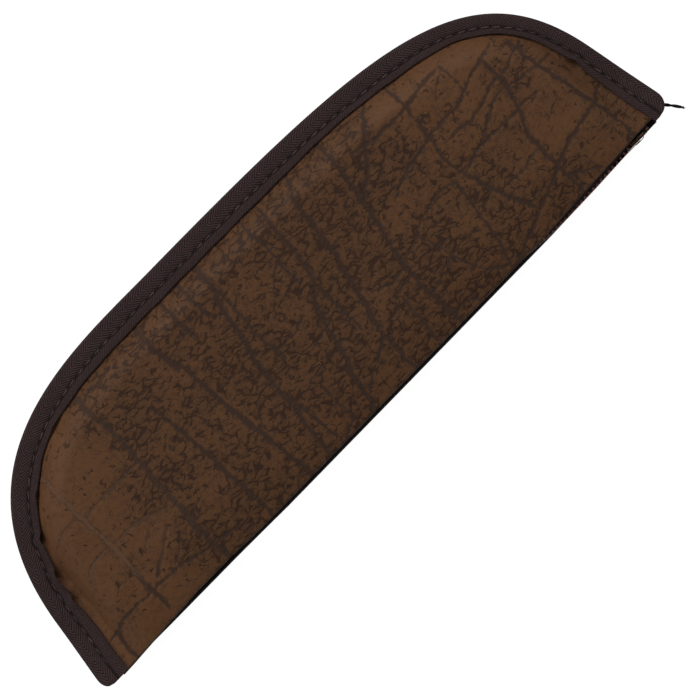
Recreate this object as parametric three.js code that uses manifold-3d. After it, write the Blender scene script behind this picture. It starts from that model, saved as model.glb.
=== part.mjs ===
// Zipped knife case: two padded, lined vinyl panels, joined round the curve by a folded
// binding tape and closed along the straight mouth by a zip.
// Millimetres. +X runs along the zip to its closed end, +Y from the zip to the curved edge,
// +Z from the back panel to the front panel. The origin is the middle of the resting face.
import * as THREE from 'three';
import { mergeVertices } from 'three/addons/utils/BufferGeometryUtils.js';
import loadManifold from 'manifold-3d';

const { clamp, lerp, smoothstep } = THREE.MathUtils;
const wasm = await loadManifold();
wasm.setup();

// Overall size of the bound outline
const CASE_LENGTH = 335.5;
const CASE_DEPTH = 107.7;

// Bound edge seen from the front, as shares of the length and depth from the middle of the mouth
const onOutline = (along, up) => [along * CASE_LENGTH, up * CASE_DEPTH];
const LEFT_FOOT = onOutline(-0.499, 0.0056);
const LEFT_KNEE = onOutline(-0.4784, 0.337);
const LEFT_PULL = onOutline(-0.4349, 1.0585);
const TOP_LEFT_PULL = onOutline(-0.2247, 1);
const TOP = onOutline(-0.0954, 1);
const TOP_RIGHT_PULL = onOutline(0.3013, 1);
const RIGHT_PULL = onOutline(0.4483, 0.9582);
const RIGHT_KNEE = onOutline(0.4799, 0.3946);
const RIGHT_FOOT = onOutline(0.501, 0.0167);
const FOOT_RADIUS = 8;
const REST_Y = 52;

// Layers of each half
const GAP = 0.3;
const SKIN = 1.2;
const PADDING = 3;
const LINING = 2.5;
const LINING_PRESSED = 0.65;
const LINING_PARTING = 0.15;
const PADDING_INSET = 10;
const EDGE_SLACK = 0.9;
const FOOT_CLEAR = 2.4;
const LINING_FROM_MOUTH = 11.5;
const PADDING_FROM_MOUTH = 13;

// Binding tape folded over the edge, and its stitching
const BINDING_WIDTH = 12.2;
const BINDING_TAPE = 0.8;
const BINDING_FOLD = 1.4;
const CORNER_SWELL = 2.8;
const CORNER_REACH = 25;
const STITCH_INSET = 7.5;
const THREAD_WIDTH = 0.8;
const THREAD_HEIGHT = 0.5;
const THREAD_SEAT = 0.05;

// Swell of the two halves away from the seam
const SEAM_Z = 10;
const FRONT_DEPTH = 11.3;
const FRONT_RISE = 19;
const FRONT_DIP = 2.8;
const FRONT_DIP_REACH = 26;
const BACK_RISE = 19;
const BACK_DIP = 1.5;
const BACK_DIP_REACH = 20;
const MOUTH_RISE = 14;
const MOUTH_RISE_REACH = 40;
const SWELL_LEAD = 6.4;
const TOP_LEAD = 1.4;
const LEAD_FROM = 40;
const LEAD_TO = 75;

// Turned hem along the mouth
const HEM = 2.6;
const HEM_TURN = 10;
const HEM_FADE = 2.5;
const HEM_ROUND = 1.1;
const HEM_SET_BACK = 2.6;
const SET_BACK_FROM = 85;
const SET_BACK_TO = 155;

// Zip
const ZIP_Y = 2.9;
const ZIP_TAPE = 0.6;
const ZIP_SEAM = 0.8;
const ZIP_UNDER_HEM = 0.7;
const ZIP_END_LENGTH = 16;
const FOLD_ROOM = 0.6;
const TOOTH_PITCH = 2.4;
const TOOTH_WIDTH = 1;
const TOOTH_THICK = 2.2;
const TOOTH_TIP = 0.7;
const CORD_NEAR = 1.9;
const CORD_FAR = 2.5;
const STOP_LENGTH = 1.6;
const STOP_WALL = 0.7;
const BOTTOM_STOP_LENGTH = 2.6;

// Slider and pull tab
const SLIDER_LENGTH = 9;
const SLIDER_FRONT = 6.6;
const SLIDER_REAR = 5.8;
const SLIDER_PLATE = 0.8;
const SLIDER_CORNER = 1.2;
const POST_LENGTH = 3;
const POST_WIDTH = 1.6;
const RIM = 0.5;
const RIM_HEIGHT = 0.7;
const CROWN_LENGTH = 5.2;
const CROWN_WIDTH = 1.4;
const CROWN_BAR = 0.6;
const CROWN_ROOM = 0.9;
const TAB_LENGTH = 16;
const TAB_WIDTH = 5;
const TAB_NECK = 4.2;
const TAB_THICK = 0.5;
const TAB_EYE_LENGTH = 4.4;
const TAB_EYE_WIDTH = 2.2;
const FIT = 0.05;

// Loose thread at the closed end, its route measured from the end of the case
const TAIL_DIAMETER = 0.9;
const TAIL_ROUTE = [[-1.45, 4.2, 10.2], [-0.45, 2.4, 10.4], [0.95, 0.2, 10], [2.45, -3.1, 9.2]];

const COLUMNS = 36;
const BAND_STEPS = 60;
const BAND_CROWDING = 0.1;
const TRACE_STEPS = 320;

const vinyl = new THREE.MeshStandardMaterial({ color: 0x46321f, roughness: 0.62, metalness: 0 });
const tape = new THREE.MeshStandardMaterial({ color: 0x302625, roughness: 0.9, metalness: 0 });
const thread = new THREE.MeshStandardMaterial({ color: 0x6a4f48, roughness: 0.7, metalness: 0 });
const blackThread = new THREE.MeshStandardMaterial({ color: 0x141214, roughness: 0.8, metalness: 0 });
const foam = new THREE.MeshStandardMaterial({ color: 0x8d8578, roughness: 0.95, metalness: 0 });
const fleece = new THREE.MeshStandardMaterial({ color: 0x5a3a26, roughness: 1, metalness: 0 });
const zipTape = new THREE.MeshStandardMaterial({ color: 0x4a2c22, roughness: 0.9, metalness: 0 });
const zipTeeth = new THREE.MeshStandardMaterial({ color: 0x6b4034, roughness: 0.45, metalness: 0 });
const bronze = new THREE.MeshStandardMaterial({ color: 0x7a4a34, roughness: 0.38, metalness: 1 });

// The bound edge as one path, from the left foot over the top to the right foot
const edge = new THREE.Path();
edge.moveTo(...LEFT_FOOT);
edge.lineTo(...LEFT_KNEE);
edge.bezierCurveTo(...LEFT_PULL, ...TOP_LEFT_PULL, ...TOP);
edge.bezierCurveTo(...TOP_RIGHT_PULL, ...RIGHT_PULL, ...RIGHT_KNEE);
edge.lineTo(...RIGHT_FOOT);

// How far a rounded foot draws the edge inward at a height above the mouth
function footPull(at) {
  const foot = at.x < 0 ? LEFT_FOOT : RIGHT_FOOT;
  const below = clamp(FOOT_RADIUS - (at.y - foot[1]), 0, FOOT_RADIUS);
  return FOOT_RADIUS - Math.sqrt(FOOT_RADIUS ** 2 - below ** 2);
}

// Shares of a length from 0 to 1, closer together towards both ends
function crowded(count, amount) {
  return Array.from({ length: count + 1 }, (_, i) => i / count - amount * Math.sin(2 * Math.PI * i / count));
}

// Stations on the bound edge, each with its inward direction, which turns level at the feet
// so that the tape's ends lie along the mouth
function stations(shares) {
  return shares.map((share) => {
    const at = edge.getPointAt(clamp(share, 0, 1));
    const along = edge.getTangentAt(clamp(share, 0, 1));
    const level = smoothstep(at.y, 0, CORNER_REACH);
    return { at, inward: new THREE.Vector2(along.y, -along.x * level).normalize(), pull: footPull(at) };
  });
}

const trace = edge.getSpacedPoints(TRACE_STEPS);

function edgeDistance(x, y) {
  let least = Infinity;
  const point = new THREE.Vector3(x, y, 0);
  const near = new THREE.Vector3();
  const piece = new THREE.Line3();
  for (let i = 0; i < TRACE_STEPS; i += 1) {
    piece.start.set(trace[i].x, trace[i].y, 0);
    piece.end.set(trace[i + 1].x, trace[i + 1].y, 0);
    piece.closestPointToPoint(point, true, near);
    least = Math.min(least, near.distanceTo(point));
  }
  return least;
}

// The front hem is set back towards the closed end, where the zip shows past it
function mouthEdge(x) {
  return HEM_SET_BACK * clamp((x - SET_BACK_FROM) / (SET_BACK_TO - SET_BACK_FROM), 0, 1) ** 1.5;
}

// Half the thickness of the bound edge, which is fuller at the two mouth corners
const BOUND_HALF = BINDING_TAPE + GAP + SKIN + GAP + LINING_PRESSED + LINING_PARTING;

function boundHalf(y) {
  return BOUND_HALF + CORNER_SWELL * clamp(1 - y / CORNER_REACH, 0, 1);
}

const FRONT = { sign: 1, depth: FRONT_DEPTH, rise: FRONT_RISE, dip: FRONT_DIP, reach: FRONT_DIP_REACH };
const BACK = { sign: -1, depth: SEAM_Z, rise: BACK_RISE, dip: BACK_DIP, reach: BACK_DIP_REACH };

// Share of the full swell at a point, from none at the binding to all inside
function swell(side, x, y) {
  const reach = lerp(MOUTH_RISE, side.rise, smoothstep(y, 0, MOUTH_RISE_REACH));
  const lead = lerp(SWELL_LEAD, TOP_LEAD, smoothstep(y, LEAD_FROM, LEAD_TO));
  const inside = (edgeDistance(x, y) - BINDING_WIDTH - lead) / reach;
  return Math.sin(clamp(inside, 0, 1) * Math.PI / 2);
}

function fullDepth(side, y) {
  return side.depth - side.dip * Math.max(0, 1 - y / side.reach) ** 2;
}

// Depths of each layer's faces, measured from the seam plane outward
function skinFace(side, x, y) {
  const bound = boundHalf(y) - BINDING_TAPE - GAP;
  return bound + (fullDepth(side, y) - bound) * swell(side, x, y);
}

function skinOuter(side, x, y) {
  const over = 1 - clamp((y - mouthEdge(x)) / HEM_ROUND, 0, 1);
  const fall = HEM_ROUND * (1 - Math.sqrt(1 - over ** 2));
  return skinFace(side, x, y) - fall * swell(side, x, y);
}

function skinInner(side, x, y) {
  const turned = 1 - smoothstep(y - mouthEdge(x), HEM_TURN - HEM_FADE, HEM_TURN);
  const thick = SKIN + (HEM - SKIN) * turned * swell(side, x, y);
  return skinFace(side, x, y) - thick;
}

function liningInner(side, x, y) {
  const inner = fullDepth(side, y) - SKIN - PADDING - LINING - 2 * GAP;
  return LINING_PARTING + (inner - LINING_PARTING) * swell(side, x, y);
}

function liningOuter(side, x, y) {
  return liningInner(side, x, y) + LINING_PRESSED + (LINING - LINING_PRESSED) * swell(side, x, y);
}

function paddingInner(side, x, y) {
  return liningOuter(side, x, y) + GAP;
}

function paddingOuter(side, x, y) {
  return skinInner(side, x, y) - GAP;
}

// Closed geometry from points and triangles, with its faces turned outward
function closedGeometry(points, triangles) {
  let volume = 0;
  for (const [a, b, c] of triangles) {
    volume += points[a].dot(new THREE.Vector3().crossVectors(points[b], points[c]));
  }
  const order = volume > 0 ? triangles : triangles.map(([a, b, c]) => [a, c, b]);
  const geometry = new THREE.BufferGeometry().setFromPoints(points);
  geometry.setIndex(order.flat());
  geometry.computeVertexNormals();
  return geometry;
}

// Grid shared by every layer: columns run from the bound edge to the mouth, and rows lie
// closer together beside the binding and beside the mouth
const EDGE_ROWS = [0, 0.055, 0.11, 0.145, 0.2, 0.3, 0.42];
const MOUTH_ROWS = [FRONT_DIP_REACH, BACK_DIP_REACH, PADDING_FROM_MOUTH, LINING_FROM_MOUTH, 8, 2.5, 0.8, 0];
const MOUTH_ROW_ROOM = 60;
const MOUTH_END = 8;
const COLUMN_CROWDING = 0.115;
const EDGE_INSET = BINDING_TAPE + EDGE_SLACK;

// The linings end clear of a zip flap folded into the case
const FLAP_REACH = Math.hypot(hemUnder(FRONT, 0) - ZIP_SEAM + TOOTH_TIP, TOOTH_THICK / 2);
const LINING_CLEAR = ZIP_Y + FLAP_REACH + GAP;
const ROW_SLACK = 0.13;

const panelEdge = stations(crowded(TRACE_STEPS, 0))
  .map(({ at, inward, pull }) => at.clone().addScaledVector(inward, EDGE_INSET + pull))
  .filter((at) => at.y > mouthEdge(at.x) + FOOT_CLEAR);
const columnShares = crowded(COLUMNS, COLUMN_CROWDING);
const heads = columnShares.map((share) => panelEdge[Math.round(share * (panelEdge.length - 1))]);

const grid = heads.map((head, i) => {
  const x = lerp(heads[0].x + MOUTH_END, heads[COLUMNS].x - MOUTH_END, columnShares[i]);
  const foot = new THREE.Vector2(x, mouthEdge(x));
  const height = head.y - foot.y;
  const shrink = Math.min(1, height / MOUTH_ROW_ROOM);
  const raise = clamp(LINING_CLEAR - LINING_FROM_MOUTH * shrink, 0, ROW_SLACK * height);
  const rowUp = (row) => row * shrink + (row < LINING_FROM_MOUTH ? 0 : raise);
  const shares = [...EDGE_ROWS, ...MOUTH_ROWS.map((row) => 1 - rowUp(row) / height)];
  return shares.map((row) => head.clone().lerp(foot, row));
});
const LAST_ROW = EDGE_ROWS.length + MOUTH_ROWS.length - 1;
const LINING_ROW = EDGE_ROWS.length + MOUTH_ROWS.indexOf(LINING_FROM_MOUTH);
const PADDING_ROW = EDGE_ROWS.length + MOUTH_ROWS.indexOf(PADDING_FROM_MOUTH);
const INNER_COLUMN = heads.findIndex((head) => head.y > CORNER_REACH);
const LAST_INNER_COLUMN = COLUMNS - [...heads].reverse().findIndex((head) => head.y > CORNER_REACH);
const PADDING_EDGE_ROW = EDGE_ROWS.findIndex((row) => {
  const at = grid[COLUMNS / 2][EDGE_ROWS.indexOf(row)];
  return edgeDistance(at.x, at.y) > BINDING_WIDTH + PADDING_INSET;
});

// One layer of one half over a block of the shared grid
function layer(side, outer, inner, columns, rows) {
  const points = [];
  const across = rows[1] - rows[0] + 1;
  const along = columns[1] - columns[0] + 1;
  for (const face of [outer, inner]) {
    for (let i = columns[0]; i <= columns[1]; i += 1) {
      for (let k = rows[0]; k <= rows[1]; k += 1) {
        const { x, y } = grid[i][k];
        points.push(new THREE.Vector3(x, y, SEAM_Z + side.sign * face(side, x, y)));
      }
    }
  }
  const under = along * across;
  const triangles = [];
  const quad = (a, b, c, d) => triangles.push([a, b, c], [a, c, d]);
  for (let i = 0; i < along - 1; i += 1) {
    for (let k = 0; k < across - 1; k += 1) {
      const a = i * across + k;
      quad(a, a + 1, a + across + 1, a + across);
      quad(under + a, under + a + across, under + a + across + 1, under + a + 1);
    }
  }
  const rim = [];
  for (let k = 0; k < across - 1; k += 1) rim.push(k);
  for (let i = 0; i < along - 1; i += 1) rim.push(i * across + across - 1);
  for (let k = across - 1; k > 0; k -= 1) rim.push((along - 1) * across + k);
  for (let i = along - 1; i > 0; i -= 1) rim.push(i * across);
  rim.forEach((a, n) => {
    const b = rim[(n + 1) % rim.length];
    quad(b, a, under + a, under + b);
  });
  return closedGeometry(points, triangles);
}

// A section carried along the bound edge; section gives [inset, depth] pairs at a station
function band(section) {
  const points = [];
  const triangles = [];
  const line = stations(crowded(BAND_STEPS, BAND_CROWDING));
  const rings = line.map((station) => section(station));
  const size = rings[0].length;
  line.forEach(({ at, inward }, i) => {
    for (const [inset, depth] of rings[i]) {
      points.push(new THREE.Vector3(at.x + inward.x * inset, at.y + inward.y * inset, SEAM_Z + depth));
    }
  });
  for (let i = 0; i < BAND_STEPS; i += 1) {
    for (let k = 0; k < size; k += 1) {
      const a = i * size + k;
      const b = i * size + (k + 1) % size;
      triangles.push([a, b, b + size], [a, b + size, a + size]);
    }
  }
  for (const [ring, turn] of [[0, false], [BAND_STEPS, true]]) {
    const outline = rings[ring].map(([inset, depth]) => new THREE.Vector2(inset, depth));
    const clockwise = THREE.ShapeUtils.isClockWise(outline);
    for (const [a, b, c] of THREE.ShapeUtils.triangulateShape(outline, [])) {
      const cap = [a, b, c].map((k) => ring * size + k);
      triangles.push(clockwise !== turn ? cap : cap.reverse());
    }
  }
  return closedGeometry(points, triangles);
}

function bindingSection({ at, pull }) {
  const half = boundHalf(at.y);
  const wall = half - BINDING_TAPE;
  const inside = pull + BINDING_TAPE;
  return [
    [BINDING_WIDTH, half], [pull + BINDING_FOLD, half], [pull, half - BINDING_FOLD],
    [pull, BINDING_FOLD - half], [pull + BINDING_FOLD, -half], [BINDING_WIDTH, -half],
    [BINDING_WIDTH, -wall], [inside, -wall], [inside, wall], [BINDING_WIDTH, wall],
  ];
}

function threadSection(sign) {
  return ({ at, pull }) => {
    const seat = boundHalf(at.y) + THREAD_SEAT;
    const inset = Math.max(STITCH_INSET, pull + BINDING_FOLD + THREAD_WIDTH);
    const wide = THREAD_WIDTH / 2;
    return [
      [inset - wide, sign * seat], [inset + wide, sign * seat],
      [inset + wide / 2, sign * (seat + THREAD_HEIGHT)], [inset - wide / 2, sign * (seat + THREAD_HEIGHT)],
    ];
  };
}

// A flat plate standing in the zip's plane, drawn as x and depth from the seam
function zipPlate(outline, thick) {
  const shape = new THREE.Shape(outline.map(([x, depth]) => new THREE.Vector2(x, depth)));
  const geometry = new THREE.ExtrudeGeometry(shape, { depth: thick, bevelEnabled: false });
  geometry.rotateX(Math.PI / 2);
  return geometry.translate(0, ZIP_Y + thick / 2, SEAM_Z);
}

// A bar along the zip, drawn as distance from the zip's plane and depth from the seam
function zipBar(outline, start, length) {
  const shape = new THREE.Shape(outline.map(([out, depth]) => new THREE.Vector2(out, depth)));
  const geometry = new THREE.ExtrudeGeometry(shape, { depth: length, bevelEnabled: false });
  geometry.rotateX(Math.PI / 2);
  geometry.rotateZ(Math.PI / 2);
  return geometry.translate(start, ZIP_Y, SEAM_Z);
}

// Ends of the mouth inside the binding, where both tapes are sewn down
const LEFT_END = heads[0].x - EDGE_INSET + BINDING_WIDTH;
const RIGHT_END = heads[COLUMNS].x + EDGE_INSET - BINDING_WIDTH;
const FLAP_LEFT = LEFT_END + ZIP_END_LENGTH;
const FLAP_RIGHT = RIGHT_END - ZIP_END_LENGTH;
const POST_ROOM = POST_WIDTH / 2 + GAP;

// Underside of a hem over the zip
function hemUnder(side, x) {
  return skinInner(side, x, ZIP_Y) - ZIP_UNDER_HEM;
}

// Sewn part of a tape: a narrow strip under the hem, deepened at both ends of the mouth
function sewnTape(side) {
  const seam = Math.min(hemUnder(side, FLAP_LEFT), hemUnder(side, FLAP_RIGHT), hemUnder(side, 0));
  const ends = [0, 0.35, 0.7, 1];
  const left = ends.map((share) => lerp(LEFT_END, FLAP_LEFT, share));
  const right = ends.map((share) => lerp(FLAP_RIGHT, RIGHT_END, share));
  const top = [...left, ...right].map((x) => [x, side.sign * Math.min(seam, hemUnder(side, x))]);
  const foot = [
    [RIGHT_END, POST_ROOM], [FLAP_RIGHT, POST_ROOM], [FLAP_RIGHT, seam - ZIP_SEAM],
    [FLAP_LEFT, seam - ZIP_SEAM], [FLAP_LEFT, POST_ROOM], [LEFT_END, POST_ROOM],
  ].map(([x, depth]) => [x, side.sign * depth]);
  return { geometry: zipPlate([...top, ...foot], ZIP_TAPE), fold: seam - ZIP_SEAM };
}

// Free part of a tape, which folds on its sewn line
function freeTape(side, fold) {
  const outline = [
    [FLAP_LEFT + GAP, fold - FOLD_ROOM], [FLAP_RIGHT - GAP, fold - FOLD_ROOM],
    [FLAP_RIGHT - GAP, CORD_FAR + GAP], [FLAP_LEFT + GAP, CORD_FAR + GAP],
  ];
  return zipPlate(outline.map(([x, depth]) => [x, side.sign * depth]), ZIP_TAPE);
}

// A row of teeth on its cord; the two rows stand half a pitch apart and mesh
function teeth(side) {
  const shift = side.sign > 0 ? 0 : TOOTH_PITCH / 2;
  const room = FLAP_RIGHT - FLAP_LEFT - 2 * GAP - TOOTH_PITCH;
  const count = Math.floor((room - TOOTH_WIDTH) / TOOTH_PITCH);
  const first = (FLAP_LEFT + FLAP_RIGHT) / 2 - count * TOOTH_PITCH / 2 - TOOTH_PITCH / 4 + shift;
  const outline = [[FLAP_RIGHT - GAP, CORD_NEAR], [FLAP_RIGHT - GAP, CORD_FAR]];
  outline.push([FLAP_LEFT + GAP, CORD_FAR], [FLAP_LEFT + GAP, CORD_NEAR]);
  for (let i = 0; i <= count; i += 1) {
    const x = first + i * TOOTH_PITCH;
    outline.push([x - TOOTH_WIDTH / 2, CORD_NEAR], [x - TOOTH_WIDTH / 2, -TOOTH_TIP]);
    outline.push([x + TOOTH_WIDTH / 2, -TOOTH_TIP], [x + TOOTH_WIDTH / 2, CORD_NEAR]);
  }
  return zipPlate(outline.map(([x, depth]) => [x, side.sign * depth]), TOOTH_THICK);
}

// A stop crimped round the edge of one tape
function topStop(side) {
  const inner = ZIP_TAPE / 2 + THREAD_SEAT;
  const outer = inner + STOP_WALL;
  const bridge = POST_ROOM - STOP_WALL;
  const outline = [
    [-outer, bridge], [outer, bridge], [outer, POST_ROOM + STOP_WALL], [inner, POST_ROOM + STOP_WALL],
    [inner, POST_ROOM - THREAD_SEAT], [-inner, POST_ROOM - THREAD_SEAT],
    [-inner, POST_ROOM + STOP_WALL], [-outer, POST_ROOM + STOP_WALL],
  ];
  const start = SLIDER_X + SLIDER_LENGTH / 2 + GAP;
  return zipBar(outline.map(([out, depth]) => [out, side.sign * depth]), start, STOP_LENGTH);
}

// The bottom stop holds both tapes, so its section is an I
function bottomStop() {
  const inner = ZIP_TAPE / 2 + THREAD_SEAT;
  const outer = inner + STOP_WALL;
  const tall = POST_ROOM + STOP_WALL;
  const web = POST_ROOM - THREAD_SEAT;
  const outline = [
    [-outer, -tall], [-inner, -tall], [-inner, -web], [inner, -web], [inner, -tall], [outer, -tall],
    [outer, tall], [inner, tall], [inner, web], [-inner, web], [-inner, tall], [-outer, tall],
  ];
  return zipBar(outline, LEFT_END + GAP, BOTTOM_STOP_LENGTH);
}

// The slider rests against the top stops, which stand at the closed end
const SLIDER_X = RIGHT_END - STOP_LENGTH - 2 * GAP - SLIDER_LENGTH / 2;
const PLATE_IN = TOOTH_THICK / 2 + GAP;
const PLATE_OUT = PLATE_IN + SLIDER_PLATE;

function sliderOutline() {
  const half = SLIDER_LENGTH / 2;
  const wide = SLIDER_FRONT / 2;
  const slim = SLIDER_REAR / 2;
  const shape = new THREE.Shape();
  shape.moveTo(-half, -slim + SLIDER_CORNER);
  shape.quadraticCurveTo(-half, -slim, -half + SLIDER_CORNER, -slim);
  shape.lineTo(half - SLIDER_CORNER, -wide);
  shape.quadraticCurveTo(half, -wide, half, -wide + SLIDER_CORNER);
  shape.lineTo(half, wide - SLIDER_CORNER);
  shape.quadraticCurveTo(half, wide, half - SLIDER_CORNER, wide);
  shape.lineTo(-half + SLIDER_CORNER, slim);
  shape.quadraticCurveTo(-half, slim, -half, slim - SLIDER_CORNER);
  return shape;
}

// A slab of the slider between two distances from the zip's plane, drawn as x and depth
function sliderSlab(shape, from, to) {
  const geometry = new THREE.ExtrudeGeometry(shape, { depth: to - from, bevelEnabled: false, curveSegments: 4 });
  geometry.rotateX(Math.PI / 2);
  return geometry.translate(SLIDER_X, ZIP_Y + to, SEAM_Z);
}

function toSolid(geometry) {
  const bare = geometry.clone();
  bare.deleteAttribute('normal');
  bare.deleteAttribute('uv');
  const merged = mergeVertices(bare, 1e-4);
  const vertProperties = new Float32Array(merged.getAttribute('position').array);
  const triVerts = new Uint32Array(merged.getIndex().array);
  return new wasm.Manifold(new wasm.Mesh({ numProp: 3, vertProperties, triVerts }));
}

function fromSolid(solid) {
  const mesh = solid.getMesh();
  const geometry = new THREE.BufferGeometry();
  geometry.setAttribute('position', new THREE.BufferAttribute(new Float32Array(mesh.vertProperties), 3));
  geometry.setIndex(new THREE.BufferAttribute(new Uint32Array(mesh.triVerts), 1));
  geometry.computeVertexNormals();
  return geometry;
}

// Two plates joined by a wedge at the leading end, with rims that keep the teeth in
function sliderBody() {
  const half = SLIDER_LENGTH / 2;
  const wedge = new THREE.Shape();
  wedge.moveTo(half - POST_LENGTH - SLIDER_CORNER, 0);
  wedge.lineTo(half - SLIDER_CORNER, -POST_WIDTH / 2);
  wedge.lineTo(half - SLIDER_CORNER / 2, 0);
  wedge.lineTo(half - SLIDER_CORNER, POST_WIDTH / 2);
  const lap = SLIDER_PLATE / 2;
  let body = toSolid(sliderSlab(sliderOutline(), -PLATE_OUT, -PLATE_IN));
  body = body.add(toSolid(sliderSlab(sliderOutline(), PLATE_IN, PLATE_OUT)));
  body = body.add(toSolid(sliderSlab(wedge, -PLATE_IN - lap, PLATE_IN + lap)));
  for (const up of [-1, 1]) {
    const front = up * SLIDER_FRONT / 2;
    const rear = up * SLIDER_REAR / 2;
    const rim = new THREE.Shape([
      new THREE.Vector2(-half + SLIDER_CORNER, rear), new THREE.Vector2(half - SLIDER_CORNER, front),
      new THREE.Vector2(half - SLIDER_CORNER, front - up * RIM),
      new THREE.Vector2(-half + SLIDER_CORNER, rear - up * RIM),
    ]);
    body = body.add(toSolid(sliderSlab(rim, -PLATE_IN - lap, -PLATE_IN + RIM_HEIGHT)));
    body = body.add(toSolid(sliderSlab(rim, PLATE_IN - RIM_HEIGHT, PLATE_IN + lap)));
  }
  return fromSolid(body);
}

// The crown is a low arch on the outer plate; its bar holds the pull tab
function sliderCrown() {
  const half = CROWN_LENGTH / 2;
  const room = half - CROWN_BAR;
  const top = CROWN_ROOM + CROWN_BAR;
  const shape = new THREE.Shape();
  shape.moveTo(-half, 0);
  shape.lineTo(-room, 0);
  shape.lineTo(-room, CROWN_ROOM);
  shape.lineTo(room, CROWN_ROOM);
  shape.lineTo(room, 0);
  shape.lineTo(half, 0);
  shape.lineTo(half, top - CROWN_BAR);
  shape.quadraticCurveTo(half, top, room, top);
  shape.lineTo(-room, top);
  shape.quadraticCurveTo(-half, top, -half, top - CROWN_BAR);
  const geometry = new THREE.ExtrudeGeometry(shape, { depth: CROWN_WIDTH, bevelEnabled: false, curveSegments: 4 });
  geometry.rotateX(Math.PI);
  return geometry.translate(SLIDER_X, ZIP_Y - PLATE_OUT - FIT, SEAM_Z + CROWN_WIDTH / 2);
}

// The tab lies back along the zip, its end bar under the crown
const TAB_BAR_X = SLIDER_X;
const TAB_Y = ZIP_Y - PLATE_OUT - FIT - CROWN_ROOM / 2;

function pullTab() {
  const bar = TAB_THICK / 2;
  const neck = TAB_NECK / 2;
  const wide = TAB_WIDTH / 2;
  const shoulder = -TAB_EYE_LENGTH - 2 * bar;
  const shape = new THREE.Shape();
  shape.moveTo(bar, neck);
  shape.lineTo(bar, -neck);
  shape.lineTo(shoulder, -neck);
  shape.lineTo(shoulder - bar, -wide);
  shape.lineTo(wide - TAB_LENGTH, -wide);
  shape.absarc(wide - TAB_LENGTH, 0, wide, -Math.PI / 2, Math.PI / 2, true);
  shape.lineTo(shoulder - bar, wide);
  shape.lineTo(shoulder, neck);
  const eye = new THREE.Path();
  eye.moveTo(-bar, -TAB_EYE_WIDTH / 2);
  eye.lineTo(-bar, TAB_EYE_WIDTH / 2);
  eye.lineTo(-bar - TAB_EYE_LENGTH, TAB_EYE_WIDTH / 2);
  eye.lineTo(-bar - TAB_EYE_LENGTH, -TAB_EYE_WIDTH / 2);
  shape.holes.push(eye);
  const geometry = new THREE.ExtrudeGeometry(shape, { depth: TAB_THICK, bevelEnabled: false, curveSegments: 8 });
  geometry.rotateX(Math.PI / 2);
  return geometry.translate(TAB_BAR_X, TAB_Y + TAB_THICK / 2, SEAM_Z);
}

// Loose end of the binding thread
function threadTail() {
  const end = CASE_LENGTH / 2;
  const route = new THREE.CatmullRomCurve3(TAIL_ROUTE.map(([x, y, z]) => new THREE.Vector3(end + x, y, z)));
  const section = new THREE.Shape();
  section.absarc(0, 0, TAIL_DIAMETER / 2, 0, 2 * Math.PI, false);
  return new THREE.ExtrudeGeometry(section, { steps: 8, extrudePath: route, curveSegments: 4 });
}

const knifeCase = new THREE.Group();
knifeCase.position.y = -REST_Y;

function place(name, geometry, material, group = knifeCase) {
  const mesh = new THREE.Mesh(geometry, material);
  mesh.name = name;
  group.add(mesh);
}

const all = [0, COLUMNS];
const inner = [INNER_COLUMN, LAST_INNER_COLUMN];
for (const [half, side] of [['front', FRONT], ['back', BACK]]) {
  const group = new THREE.Group();
  knifeCase.add(group);
  place(`${half}_skin`, layer(side, skinOuter, skinInner, all, [0, LAST_ROW]), vinyl, group);
  const padding = layer(side, paddingOuter, paddingInner, inner, [PADDING_EDGE_ROW, PADDING_ROW]);
  place(`${half}_padding`, padding, foam, group);
  place(`${half}_lining`, layer(side, liningOuter, liningInner, inner, [0, LINING_ROW]), fleece, group);
  place(`${half}_binding_thread`, band(threadSection(side.sign)), thread, group);
  const { geometry, fold } = sewnTape(side);
  place(`${half}_zip_tape`, geometry, zipTape, group);
  place(`${half}_zip_flap`, freeTape(side, fold), zipTape, group);
  place(`${half}_zip_teeth`, teeth(side), zipTeeth, group);
  place(`${half}_top_stop`, topStop(side), bronze, group);
}
place('edge_binding', band(bindingSection), tape);
place('thread_tail', threadTail(), blackThread);
place('bottom_stop', bottomStop(), bronze);
place('slider_body', sliderBody(), bronze);
place('slider_crown', sliderCrown(), bronze);
place('pull_tab', pullTab(), bronze);

export default knifeCase;
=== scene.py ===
import math

import bmesh
import bpy
import numpy as np
from mathutils import Matrix, Vector, kdtree, noise


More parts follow.
